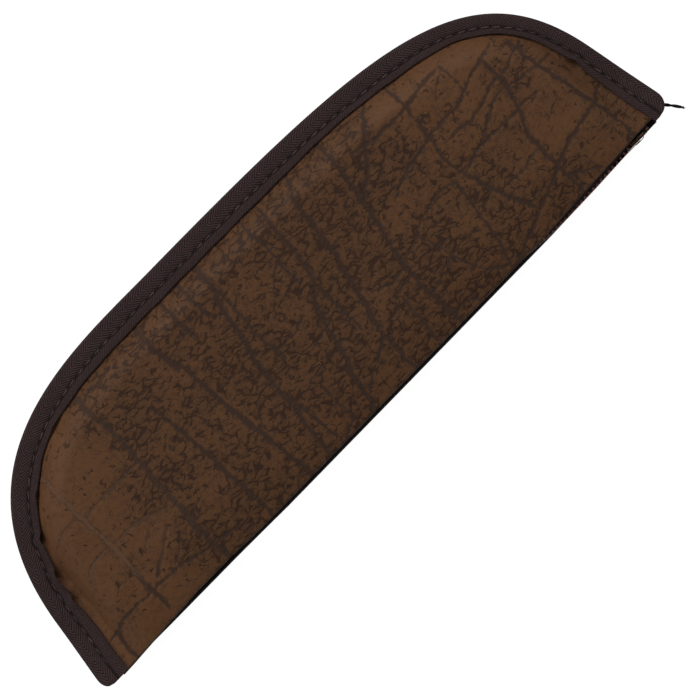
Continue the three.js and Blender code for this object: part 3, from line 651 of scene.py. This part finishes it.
# Binding: one-inch herringbone tape folded lengthwise over the raw edges of both halves and sewn
# through, with its ends turned in at the mouth. The stitching draws a groove into it and its
# inner edge lifts off the panel in places.
TAPE = 0.8
FOLD = 1.4
EDGE_DRAW = 0.25
LEG_DROP = 1.1
GROOVE = 0.75
CROWN = 0.22
WANDER = 21
STITCH_LINE = (
    (0, 7.7), (320, 7.8), (336, 7.2), (350, 6.3), (376, 5.9), (400, 6.0), (424, 6.3), (476, 7.2),
)
STITCH_PITCH = 5.5
EDGE_STATIONS = 720
LEG_POINTS = 18
TURN_POINTS = 8

edge_s, edge_at, edge_in, foot_pull = stations(EDGE_STATIONS)
edge_half = bound_half(edge_at[:, 1])
stitch_line = np.interp(edge_s, *zip(*STITCH_LINE))


def edge_lift(half):
    """Lift of the tape's inner edge along the case, in millimetres."""
    wander = np.array([noise.noise((s / WANDER, half["sign"], 0.4)) for s in edge_s])
    inner = edge_at + edge_in * bound_reach(half, edge_s)[:, None]
    return np.clip(0.08 + 0.1 * wander + lifted(half, inner[:, 0], inner[:, 1]), 0, 2)


def tape_leg(inset, lift):
    """Depth of the tape's outer face on one leg at a distance from the bound edge."""
    past = inset - stitch_line[:, None]
    groove = np.exp(-((past / GROOVE) ** 2))
    hole = 0.5 + 0.5 * np.cos(2 * math.pi * edge_s[:, None] / STITCH_PITCH)
    crown = CROWN * np.sin(np.clip(inset / stitch_line[:, None], 0, 1) * math.pi)
    drawn = edge_half[:, None] + crown - groove * (0.12 + 0.2 * hole)
    return drawn + lift[:, None] * ease(past, 0.4, 3.6)


front_lift = edge_lift(front_half)
back_lift = edge_lift(back_half)
leg_share = np.linspace(0, 1, LEG_POINTS)
turn_angle = np.linspace(0, math.pi / 2, TURN_POINTS)[1:]
rings = []
for half, lift in ((front_half, front_lift), (back_half, back_lift)):
    sign = half["sign"]
    fold = foot_pull[:, None] + EDGE_DRAW
    start = fold + FOLD
    uneven = 0.12 * np.sin(edge_s / 3.1 + sign)
    reach = bound_reach(half, edge_s) + uneven - 1.1 * np.clip(lift - 0.5, 0, 1)
    inset = reach[:, None] + (start - reach[:, None]) * leg_share
    depth = tape_leg(inset, lift)
    bend = depth[:, -1:] - FOLD * (1 - np.cos(turn_angle))
    outer_in = np.concatenate((inset, start - FOLD * np.sin(turn_angle)), 1)
    outer = np.concatenate((depth, bend), 1)
    inner_in = np.concatenate((inset[:, ::3], start + 0.2, fold + TAPE), 1)
    corner = (edge_half[:, None] - TAPE, edge_half[:, None] - FOLD - 0.6)
    inner = np.concatenate((depth[:, ::3] - TAPE, *corner), 1)
    rings.append((outer_in, sign * outer, inner_in, sign * inner))
front_ring, back_ring = rings
ring_in, ring_depth = (
    np.concatenate((front_ring[k], back_ring[k][:, ::-1], back_ring[k + 2], front_ring[k + 2][:, ::-1]), 1)
    for k in (0, 1)
)
ring_size = ring_in.shape[1]
ring_x = edge_at[:, :1] + edge_in[:, :1] * ring_in
ring_y = edge_at[:, 1:] + edge_in[:, 1:] * ring_in + MOUTH_Y
left_end = (1 - ease(edge_at[:, 1:], 1, 8)) * (edge_at[:, :1] < 0)
ring_y -= LEG_DROP * left_end * ease(np.abs(ring_depth), 2.7, 3.5)
ring_z = SEAM_Z + ring_depth
width_step = np.hypot(np.diff(ring_in, axis=1), np.diff(ring_depth, axis=1))
strip = bound_reach(front_half, edge_s) - stitch_line
ring_v = np.concatenate((np.zeros((EDGE_STATIONS, 1)), np.cumsum(width_step, 1)), 1) - strip[:, None]

binding = bmesh.new()
weave = binding.loops.layers.uv.new("weave")
for v, i, k in sheet(binding, EDGE_STATIONS - 1, ring_size):
    for loop in v.link_loops:
        loop[weave].uv = (edge_s[i], ring_v[i, min(k, ring_size - 1)])
    k %= ring_size
    v.co = (ring_x[i, k] * MM, ring_y[i, k] * MM, ring_z[i, k] * MM)
close_shape(binding)

# Herringbone cotton-polyester tape: slanted ribs that change sides every few millimetres, dull
# and slightly hairy. Ribs are drawn a little coarser than real ones, so that they show.
RIB_PITCH = 1.5
RIB_COLUMN = 3.9
RIB_SLANT = 1.25
FUZZ = 0.9
WORN_SPOT = 11
herringbone_tape, tree = new_material("herringbone_tape")
woven = add(tree, "ShaderNodeUVMap", uv_map="weave").outputs["UV"]
split = add(tree, "ShaderNodeSeparateXYZ", {0: woven}).outputs
zigzag = calc(tree, "PINGPONG", split["Y"], RIB_COLUMN)
slant = calc(tree, "MULTIPLY_ADD", zigzag, RIB_SLANT, split["X"])
turns = calc(tree, "MULTIPLY", slant, 2 * math.pi / RIB_PITCH)
rib = ramp(tree, calc(tree, "SINE", turns), -1, 1)
plain = ramp(tree, split["Y"], -0.8, 0, 0.5, 0)
rib = add(tree, "ShaderNodeMix", {0: plain, 2: rib, 3: 0.45}).outputs[0]
place = object_place(tree)
fuzz = spots(tree, place, FUZZ, 4)
dye = tint(tree, spots(tree, place, WORN_SPOT, 3), "#2f2322", "#3b2e2d")
ribbed = tint(tree, rib, "#161010", dye)
cloth = tint(tree, ramp(tree, fuzz, 0.5, 0.8, 0, 0.35), ribbed, "#493b39")
# Painted shade: the tape is darkened along the stitch line, where its groove lies
stitch_groove_shade = ramp(tree, calc(tree, "ABSOLUTE", split["Y"]), 0.3, 0.95, 0.85, 0)
cloth = tint(tree, stitch_groove_shade, cloth, "#150d0d")
ridges = relief(tree, calc(tree, "ADD", rib, fuzz), 0.5, 0.3)
coat(tree, {"Base Color": cloth, "Roughness": 0.9, "Normal": ridges, "Specular IOR Level": 0.08})

binding_piece = finish_piece("herringbone_binding", binding, herringbone_tape)
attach(binding_piece, "case")
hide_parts("edge_binding")

# Lockstitching: one row of bonded nylon thread through the binding and both halves. Every stitch
# is two strands lying over each other, and dives into its needle holes at both ends.
STITCH_LENGTH = 3.9
STRAND = 0.34
STRAND_RISE = 0.12
STRAND_APART = 0.11
FOOT_CLEAR = 2.2
PLY_SPOT = 12


def lockstitches(sign, lift):
    row = bmesh.new()
    size = Matrix.Diagonal((STITCH_LENGTH / 2 * MM, STRAND / 2 * MM, STRAND / 2 * 1.1 * MM, 1))
    for n in range(1, int(EDGE_RUN / STITCH_PITCH) - 1):
        i = int(np.argmin(np.abs(edge_s - (n + 0.5) * STITCH_PITCH)))
        inset = np.full((EDGE_STATIONS, 1), max(stitch_line[i], foot_pull[i] + FOOT_CLEAR))
        depth = tape_leg(inset, lift)[i, 0] + STRAND_RISE
        at = edge_at[i] + edge_in[i] * inset[i, 0]
        spot = Matrix.Translation((at[0] * MM, (at[1] + MOUTH_Y) * MM, (SEAM_Z + sign * depth) * MM))
        along = math.atan2(edge_in[i, 0], -edge_in[i, 1])
        for twist in (-1, 1):
            turn = Matrix.Rotation(along + twist * 0.07 + 0.05 * sign, 4, "Z")
            shift = Matrix.Translation((0, twist * STRAND_APART * MM, 0))
            lay = spot @ turn @ shift @ size @ Matrix.Rotation(math.pi / 2, 4, "Y")
            bmesh.ops.create_uvsphere(row, u_segments=8, v_segments=6, radius=1, matrix=lay)
    return row


# Bonded nylon thread: brown with a slight sheen along the twist
bonded_thread, tree = new_material("bonded_thread")
ply = ramp(tree, spots(tree, object_place(tree), PLY_SPOT, 3), 0.35, 0.65)
dye = tint(tree, ply, "#1f1615", "#3c2e2b")
coat(tree, {"Base Color": dye, "Roughness": 0.55, "Specular IOR Level": 0.3})

for sign, lift, side in ((1, front_lift, "front"), (-1, back_lift, "back")):
    stitching = finish_piece(f"{side}_lockstitching", lockstitches(sign, lift), bonded_thread)
    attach(stitching, "case")
    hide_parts(f"{side}_binding_thread")

# Zip tapes: close-woven polyester, one sewn under each hem and joined to the other at both ends of
# the mouth. Each is made in two halves.
ZIP_Y = -49.1
ZIP_LEFT = -152.4
ZIP_RIGHT = 153.9
ZIP_TAPE = 0.6
ZIP_STEP = 2.0
ZIP_ROWS = 8
TWIST_START = -139.6
TWIST_END = 104.0
POST_ROOM = 1.1
HEM_OVERLAP = 0.7
HEM_SLACK = 0.35
BULGE_X = (70, 95, 105, 122, 138, 145)
BULGE = (0, 2.1, 2.2, 1.9, 1.3, 0.3)


def zip_bulge(x):
    """The closed zip bows out of the mouth a little beside the slider."""
    return np.interp(x, BULGE_X, BULGE)


def hem_under(half, x):
    up = np.full(x.shape, ZIP_Y - MOUTH_Y)
    full = swell(half, x, up)
    return panel_face(half, x, up) - VINYL - (2 * HEM_RADIUS - VINYL) * full - HEM_SLACK


def thicken(shape, thickness):
    """Gives a sheet its thickness along y, in millimetres."""
    made = bmesh.ops.extrude_face_region(shape, geom=shape.faces[:])["geom"]
    inner = [v for v in made if isinstance(v, bmesh.types.BMVert)]
    bmesh.ops.translate(shape, verts=inner, vec=(0, thickness * MM, 0))
    bmesh.ops.recalc_face_normals(shape, faces=shape.faces)


def zip_tape_mesh(half, start, end):
    columns = int((end - start) / ZIP_STEP)
    x = np.linspace(start, end, columns + 1)
    high = hem_under(half, x)
    sewn = np.maximum(ZIP_Y, MOUTH_Y + mouth_edge(half, x) + HEM_OVERLAP)
    tape = bmesh.new()
    for v, i, k in sheet(tape, columns, ZIP_ROWS):
        share = k / ZIP_ROWS
        depth = POST_ROOM + (high[i] - POST_ROOM) * share
        y = (ZIP_Y - zip_bulge(x[i])) * (1 - share) + sewn[i] * share
        v.co = (x[i] * MM, (y - ZIP_TAPE / 2) * MM, (SEAM_Z + half["sign"] * depth) * MM)
    thicken(tape, ZIP_TAPE)
    return tape


# Close-woven polyester zip tape: fine ribs across it, matt, its reddish brown darkened nearly to black as
# painted shade under the hems
WEFT = 0.7
FADED_SPOT = 4
zip_tape_dye_and_shade, tree = new_material("zip_tape_dye_and_shade")
place = object_place(tree)
weft = {"Vector": place, "Scale": 1 / (WEFT * MM) / 20, "Distortion": 0.4}
weft = add(tree, "ShaderNodeTexWave", weft, bands_direction="X").outputs["Fac"]
dye = tint(tree, spots(tree, place, FADED_SPOT, 3), "#160d0b", "#241613")
ribbed = tint(tree, weft, "#0e0807", dye)
ridges = relief(tree, weft, 0.4, 0.2)
coat(tree, {"Base Color": ribbed, "Roughness": 0.88, "Normal": ridges, "Specular IOR Level": 0.06})

TAPE_HALVES = (
    ("left", ZIP_LEFT, 0.0, TWIST_START, -TWIST_END),
    ("right", 0.0, ZIP_RIGHT, ZIP_RIGHT, TWIST_END),
)
for half, side in ((front_half, "front"), (back_half, "back")):
    for hand, start, end, held, settled in TAPE_HALVES:
        woven = zip_tape_mesh(half, start, end)
        tape = finish_piece(f"{side}_zip_tape_{hand}", woven, zip_tape_dye_and_shade)
        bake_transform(tape)
        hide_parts(f"{side}_zip_tape", f"{side}_zip_flap")

# Teeth: moulded plastic, each cast round the edge of its tape with a rounded head that locks
# between two teeth of the other row.
TOOTH_PITCH = 2.4
TOOTH_WIDTH = 1.05
TOOTH_THICK = 2.0
TOOTH_EDGE = 0.22
TEETH_RIGHT = 146.0
# Both parts of a tooth: from and to along its height, then the shares of its width and thickness
TOOTH_HEAD = (-0.7, 0.75, 1.18, 1.0)
TOOTH_STEM = (0.45, 2.6, 0.86, 0.86)


def round_corners(shape, edges, size, steps):
    bmesh.ops.bevel(
        shape,
        geom=edges,
        offset=size * MM,
        offset_type="OFFSET",
        segments=steps,
        profile=0.5,
        affect="EDGES",
        material=-1,
    )


def teeth_mesh(half, start, end):
    row = bmesh.new()
    shift = 0 if half["sign"] > 0 else TOOTH_PITCH / 2
    first = math.ceil((start - shift) / TOOTH_PITCH)
    last = math.ceil((end - shift) / TOOTH_PITCH)
    for n in range(first, last):
        x = n * TOOTH_PITCH + shift
        y = ZIP_Y - float(zip_bulge(x))
        for low, high, wide, thick in (TOOTH_HEAD, TOOTH_STEM):
            middle = SEAM_Z + half["sign"] * (low + high) / 2
            spot = Matrix.Translation((x * MM, y * MM, middle * MM))
            size = (TOOTH_WIDTH * wide * MM, TOOTH_THICK * thick * MM, (high - low) * MM, 1)
            bmesh.ops.create_cube(row, size=1, matrix=spot @ Matrix.Diagonal(size))
    round_corners(row, row.edges[:], TOOTH_EDGE, 1)
    bmesh.ops.recalc_face_normals(row, faces=row.faces)
    return row


# Moulded acetal: satin dark brown, darker along most of the mouth as painted shade and redder towards the
# closed end, where pale flecks are painted highlight
FLECK_SIZE = 1.8
LIT_TEETH_X = (0.074, 0.1)
moulded_acetal, tree = new_material("moulded_acetal")
place = object_place(tree)
fleck = spots(tree, place, FLECK_SIZE, 4)
east = add(tree, "ShaderNodeSeparateXYZ", {0: place}).outputs["X"]
lit_teeth = ramp(tree, east, *LIT_TEETH_X)
painted_glint = calc(tree, "MULTIPLY", ramp(tree, fleck, 0.4, 0.72), lit_teeth)
# Painted shade to the west, redder teeth towards the closed end where they show, and pale flecks there as
# painted highlight
dye = tint(tree, lit_teeth, "#22130f", "#4e2a23")
dye = tint(tree, painted_glint, dye, "#8c6257")
gloss = ramp(tree, fleck, 0, 1, 0.32, 0.5)
coat(tree, {"Base Color": dye, "Roughness": gloss, "Specular IOR Level": 0.25})

TEETH_HALVES = (
    ("left", TWIST_START, 0.0, TWIST_START, -TWIST_END),
    ("right", 0.0, TEETH_RIGHT, ZIP_RIGHT, TWIST_END),
)
for half, side in ((front_half, "front"), (back_half, "back")):
    for hand, start, end, held, settled in TEETH_HALVES:
        row = finish_piece(f"{side}_teeth_{hand}", teeth_mesh(half, start, end), moulded_acetal)
        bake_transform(row)
        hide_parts(f"{side}_zip_teeth")

# Stops: strips of bronzed brass crimped round the tapes, one on each tape at the closed end and
# one across both at the other.
TOP_STOP_EDGE = 0.25
JOINING_STOP_EDGE = 0.3
PATINA = 2.2


def block(shape, low, high):
    """A plain box between two corners in millimetres; gives its points and its edges."""
    low, high = Vector(low) * MM, Vector(high) * MM
    lay = Matrix.Translation((low + high) / 2) @ Matrix.Diagonal((*(high - low), 1))
    made = bmesh.ops.create_cube(shape, size=1, matrix=lay)["verts"]
    return made, list({e for v in made for e in v.link_edges})


def beveled_box(shape, low, high, edge):
    _, edges = block(shape, low, high)
    round_corners(shape, edges, edge, 2)


# Bronzed brass: dark brown patina, rubbed bright where it is handled
bronzed_brass, tree = new_material("bronzed_brass")
patina = spots(tree, object_place(tree), PATINA, 5)
metal = tint(tree, ramp(tree, patina, 0.42, 0.7), "#38291f", "#7f6350")
gloss = ramp(tree, patina, 0, 1, 0.4, 0.62)
pits = relief(tree, patina, 0.1, 0.1)
coat(tree, {"Base Color": metal, "Metallic": 1.0, "Roughness": gloss, "Normal": pits})

for side in ("front", "back"):
    low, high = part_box(f"{side}_top_stop")
    stop = bmesh.new()
    beveled_box(stop, low / MM, high / MM, TOP_STOP_EDGE)
    stop_piece = finish_piece(f"{side}_stop", stop, bronzed_brass)
    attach(stop_piece, "case")
    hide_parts(f"{side}_top_stop")
low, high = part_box("bottom_stop")
stop = bmesh.new()
beveled_box(stop, low / MM, high / MM, JOINING_STOP_EDGE)
stop_piece = finish_piece("joining_stop", stop, bronzed_brass)
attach(stop_piece, "case")
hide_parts("bottom_stop")

# Slider: cast zinc with a bronzed finish. Two crowned plates stand on a post that parts the rows,
# rims along their edges guide the teeth, and a bridge on the outer plate holds the pull.
SLIDER = (143.04, 152.04)
PLATE_IN = 1.25
PLATE_OUT = 1.85
PLATE_HALF = 3.3
PLATE_TAPER = 0.88
PLATE_CORNER = 1.4
PLATE_EDGE = 0.16
POST = (148.4, 151.6)
POST_HALF = 0.85
POST_EDGE = 0.3
SUNK = 0.1
RIM = (143.84, 150.64)
RIM_IN = 0.5
RIM_HALF = 0.25
RIM_HEIGHT = 0.9
RIM_EDGE = 0.1
BRIDGE = (144.94, 150.14)
BRIDGE_TOP = -51.66
BRIDGE_HALF = 0.7
BRIDGE_BAR = 0.3
BRIDGE_POINTS = 15
BRIDGE_SIDES = 10
BRIDGE_SQUARE = 0.55
SHARP = 1.2


def face_to_face(edges):
    """Those edges that run through a plate from one face to the other."""
    return [e for e in edges if abs(e.verts[0].co.y - e.verts[1].co.y) > 1e-5]


def sharp_edges(shape):
    return [e for e in shape.edges if len(e.link_faces) == 2 and e.calc_face_angle(0) > SHARP]


slider = bmesh.new()
for low, high in ((PLATE_IN, PLATE_OUT), (-PLATE_OUT, -PLATE_IN)):
    plate_low = (SLIDER[0], ZIP_Y + low, SEAM_Z - PLATE_HALF)
    plate_high = (SLIDER[1], ZIP_Y + high, SEAM_Z + PLATE_HALF)
    points, edges = block(slider, plate_low, plate_high)
    for v in points:
        if v.co.x < (SLIDER[0] + SLIDER[1]) / 2 * MM:
            v.co.z = SEAM_Z * MM + (v.co.z - SEAM_Z * MM) * PLATE_TAPER
    round_corners(slider, face_to_face(edges), PLATE_CORNER, 4)
    round_corners(slider, sharp_edges(slider), PLATE_EDGE, 2)
    inner = low if low > 0 else high
    rim_low, rim_high = sorted((inner, inner - math.copysign(RIM_HEIGHT, inner)))
    for edge in (-1, 1):
        near = SEAM_Z + edge * (PLATE_HALF - RIM_HALF) - edge * RIM_IN
        rim_start = (RIM[0], ZIP_Y + rim_low, near - RIM_HALF)
        beveled_box(slider, rim_start, (RIM[1], ZIP_Y + rim_high, near + RIM_HALF), RIM_EDGE)
beveled_box(
    slider,
    (POST[0], ZIP_Y - PLATE_IN - SUNK, SEAM_Z - POST_HALF),
    (POST[1], ZIP_Y + PLATE_IN + SUNK, SEAM_Z + POST_HALF),
    POST_EDGE,
)
slider_piece = finish_piece("slider_casting", slider, bronzed_brass)
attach(slider_piece, "slider")
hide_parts("slider_body")


def sweep(shape, points, sides, half_side, half_up, tip):
    """A bar of oval section along its points in millimetres, thinning to a share at the tip."""
    count = len(points) - 1
    along = np.gradient(points, axis=0)
    for v, i, k in sheet(shape, count, sides):
        turn = k % sides / sides * 2 * math.pi
        forward = Vector(along[i]).normalized()
        side = forward.cross(Vector((0, 0, 1))).normalized()
        out = side * math.cos(turn) * half_side + side.cross(forward) * math.sin(turn) * half_up
        v.co = (Vector(points[i]) + out * (1 + (tip - 1) * i / count)) * MM


turn = np.linspace(math.pi, 0, BRIDGE_POINTS)
middle_x = (BRIDGE[0] + BRIDGE[1]) / 2
reach_x = (BRIDGE[1] - BRIDGE[0] - BRIDGE_BAR) / 2
foot_y = ZIP_Y - PLATE_OUT + SUNK
rise = foot_y - BRIDGE_TOP - BRIDGE_BAR / 2
arch_x = middle_x + reach_x * np.sign(np.cos(turn)) * np.abs(np.cos(turn)) ** BRIDGE_SQUARE
arch_y = foot_y - rise * np.sin(turn) ** BRIDGE_SQUARE
arch = np.stack((arch_x, arch_y, np.full(BRIDGE_POINTS, SEAM_Z)), 1)
bridge = bmesh.new()
sweep(bridge, arch, BRIDGE_SIDES, BRIDGE_BAR / 2, BRIDGE_HALF, 1)
bridge_piece = finish_piece("slider_bridge", close_shape(bridge), bronzed_brass)
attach(bridge_piece, "slider")
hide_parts("slider_crown")

# Pull tab: a strip stamped from bronzed brass, with an eye that hangs on the bridge of the slider
# and a free end that is rounded off for the fingers.
TAB_X = (131.54, 142.9, 147.2, 147.79)
TAB_Z = (-2.5, -1.1, 1.1, 2.5)
TAB_NECK = 0.84
TAB_Y = (-51.34, -51.12)
TAB_CORNER = 1.3
TAB_EDGE = 0.12
tab = bmesh.new()
places = sheet(tab, 3, 3)
eye = min(tab.faces, key=lambda f: f.calc_center_median().length)
for v, i, k in places:
    narrow = TAB_NECK if i > 0 and k in (0, 3) else 1
    v.co = Vector((TAB_X[i], TAB_Y[0], SEAM_Z + TAB_Z[k] * narrow)) * MM
bmesh.ops.delete(tab, geom=[eye], context="FACES_ONLY")
thicken(tab, TAB_Y[1] - TAB_Y[0])
far = [e for e in face_to_face(tab.edges) if e.verts[0].co.x < (TAB_X[0] + 0.1) * MM]
ends = [e for e in far if abs(e.verts[0].co.z - SEAM_Z * MM) > 2 * MM]
round_corners(tab, ends, TAB_CORNER, 5)
round_corners(tab, sharp_edges(tab), TAB_EDGE, 2)
tab_piece = finish_piece("pull_strip", tab, bronzed_brass)
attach(tab_piece, "pull")
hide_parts("pull_tab")

# Loose end of the binding thread at the closed corner: two black strands twisted together, cut
# off and frayed at the tip.
TAIL = ((164.2, -46.8, 10.2), (165.9, -48.9, 10.3), (167.6, -51.1, 10.2), (170.1, -54.7, 9.4))
TAIL_POINTS = 60
TAIL_STRAND = 1.0
TAIL_TWIST = 9
TAIL_APART = 0.28
FRAYS = 6
FRAY_SPREAD = 0.35
FRAY_REACH = 2.1
FRAY_HALF = 0.08
TAIL_SPOT = 0.8


def spread_over(count):
    return np.linspace(0, 1, count)


tail_points = rounded([p[:2] for p in TAIL])
tail_z = np.interp(spread_over(len(tail_points)), spread_over(len(TAIL)), [p[2] for p in TAIL])
steps = spread_over(TAIL_POINTS)
lines = (*tail_points.T, tail_z)
middle = np.stack([np.interp(steps, spread_over(len(tail_points)), line) for line in lines], 1)
tail = bmesh.new()
for phase in (0, math.pi):
    turn = steps * TAIL_TWIST + phase
    offset = np.stack((np.cos(turn) * 0.7, np.cos(turn) * 0.7, np.sin(turn)), 1) * TAIL_APART
    sweep(tail, middle + offset, 7, TAIL_STRAND / 2, TAIL_STRAND / 2, 0.8)
reach = spread_over(6)[:, None]
ahead = (middle[-1] - middle[-5]) * FRAY_REACH
for n in range(FRAYS):
    spread = Vector((math.cos(n * 2.4), math.sin(n * 1.9), math.sin(n * 2.9) * 0.6)) * FRAY_SPREAD
    fray = middle[-4] + reach * ahead + reach**2 * np.array(spread)
    sweep(tail, fray, 5, FRAY_HALF, FRAY_HALF, 0.3)

# Black sewing thread: dull, its twist showing as a slight change of tone
black_thread, tree = new_material("black_thread")
dye = tint(tree, spots(tree, object_place(tree), TAIL_SPOT, 2), "#040404", "#100e0e")
coat(tree, {"Base Color": dye, "Roughness": 0.75, "Specular IOR Level": 0.1})
tail_piece = finish_piece("thread_end", close_shape(tail), black_thread)
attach(tail_piece, "case")
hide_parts("thread_tail")

# Studio: a white sweep under the case, a soft box behind its curved edge, one at each end, a low
# one before the mouth, and an even fill.
FLOOR_HALF = 3
FLOOR_Z = -0.0001
WHITE = (1, 1, 1, 1)
floor_shape = bmesh.new()
bmesh.ops.create_grid(floor_shape, x_segments=1, y_segments=1, size=FLOOR_HALF)
bmesh.ops.translate(floor_shape, verts=floor_shape.verts, vec=(0, 0, FLOOR_Z))
white_sweep, tree = new_material("white_sweep")
path = add(tree, "ShaderNodeLightPath").outputs
seen = calc(tree, "MAXIMUM", path["Is Camera Ray"], path["Is Glossy Ray"])
seen = calc(tree, "MAXIMUM", seen, path["Is Transmission Ray"])
paper = add(tree, "ShaderNodeBsdfDiffuse", {"Color": linear("#bcbcbc")}).outputs[0]
glow = add(tree, "ShaderNodeEmission", {"Color": WHITE, "Strength": 1.2}).outputs[0]
mixed = add(tree, "ShaderNodeMixShader", {0: calc(tree, "MULTIPLY", seen, 0.8), 1: paper, 2: glow})
add(tree, "ShaderNodeOutputMaterial", {"Surface": mixed.outputs[0]})
floor_mesh = bpy.data.meshes.new("floor")
floor_shape.to_mesh(floor_mesh)
floor_shape.free()
floor_mesh.materials.append(white_sweep)
floor = bpy.data.objects.new("floor", floor_mesh)
bpy.context.scene.collection.objects.link(floor)
floor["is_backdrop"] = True

world = bpy.data.worlds.new("studio")
world.use_nodes = True
world.node_tree.nodes.clear()
tree = world.node_tree
path = add(tree, "ShaderNodeLightPath").outputs
seen = calc(tree, "MAXIMUM", path["Is Camera Ray"], path["Is Transmission Ray"])
fill = add(tree, "ShaderNodeBackground", {"Color": WHITE, "Strength": 0.16}).outputs[0]
white = add(tree, "ShaderNodeBackground", {"Color": WHITE, "Strength": 1.0}).outputs[0]
mixed = add(tree, "ShaderNodeMixShader", {0: seen, 1: fill, 2: white})
add(tree, "ShaderNodeOutputWorld", {"Surface": mixed.outputs[0]})
bpy.context.scene.world = world


def soft_box(name, place, aim, size, power):
    lamp = bpy.data.lights.new(name, "AREA")
    lamp.shape = "RECTANGLE"
    lamp.size, lamp.size_y = size
    lamp.energy = power
    made = bpy.data.objects.new(name, lamp)
    made.location = place
    made.rotation_euler = (Vector(aim) - Vector(place)).to_track_quat("-Z", "Y").to_euler()
    bpy.context.scene.collection.objects.link(made)


soft_box("key_box", (0.05, 1.15, 0.95), (0, 0, 0), (1.3, 0.6), 26.0)
soft_box("left_box", (-1.3, 0.15, 0.85), (0, 0, 0), (0.6, 1.0), 9.0)
soft_box("right_box", (1.3, 0.15, 0.85), (0, 0, 0), (0.6, 1.0), 8.5)
soft_box("mouth_box", (0, -1.5, 0.2), (0, 0, 0.01), (1.6, 0.25), 5.0)

# Camera: straight above, with the mouth running from lower left to upper right.
VIEW_FIELD = 287.0
VIEW_LENS = 180.0
VIEW_SENSOR = 36.0
VIEW_CENTRE = (3.3, -26.0)
VIEW_RIGHT = Vector((0.69793, -0.71616, 0))
VIEW_UP = Vector((0.71616, 0.69793, 0))
camera = bpy.data.cameras.new("camera")
camera.lens = VIEW_LENS
camera.sensor_width = VIEW_SENSOR
camera_piece = bpy.data.objects.new("camera", camera)
turn = Matrix((VIEW_RIGHT, VIEW_UP, Vector((0, 0, 1)))).transposed().to_4x4()
reach = VIEW_FIELD * MM * VIEW_LENS / VIEW_SENSOR + SEAM_Z * MM
camera_piece.matrix_world = Matrix.Translation((VIEW_CENTRE[0] * MM, VIEW_CENTRE[1] * MM, reach)) @ turn
bpy.context.scene.collection.objects.link(camera_piece)
bpy.context.scene.camera = camera_piece
bpy.context.scene.view_settings.view_transform = "Standard"

low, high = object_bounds()
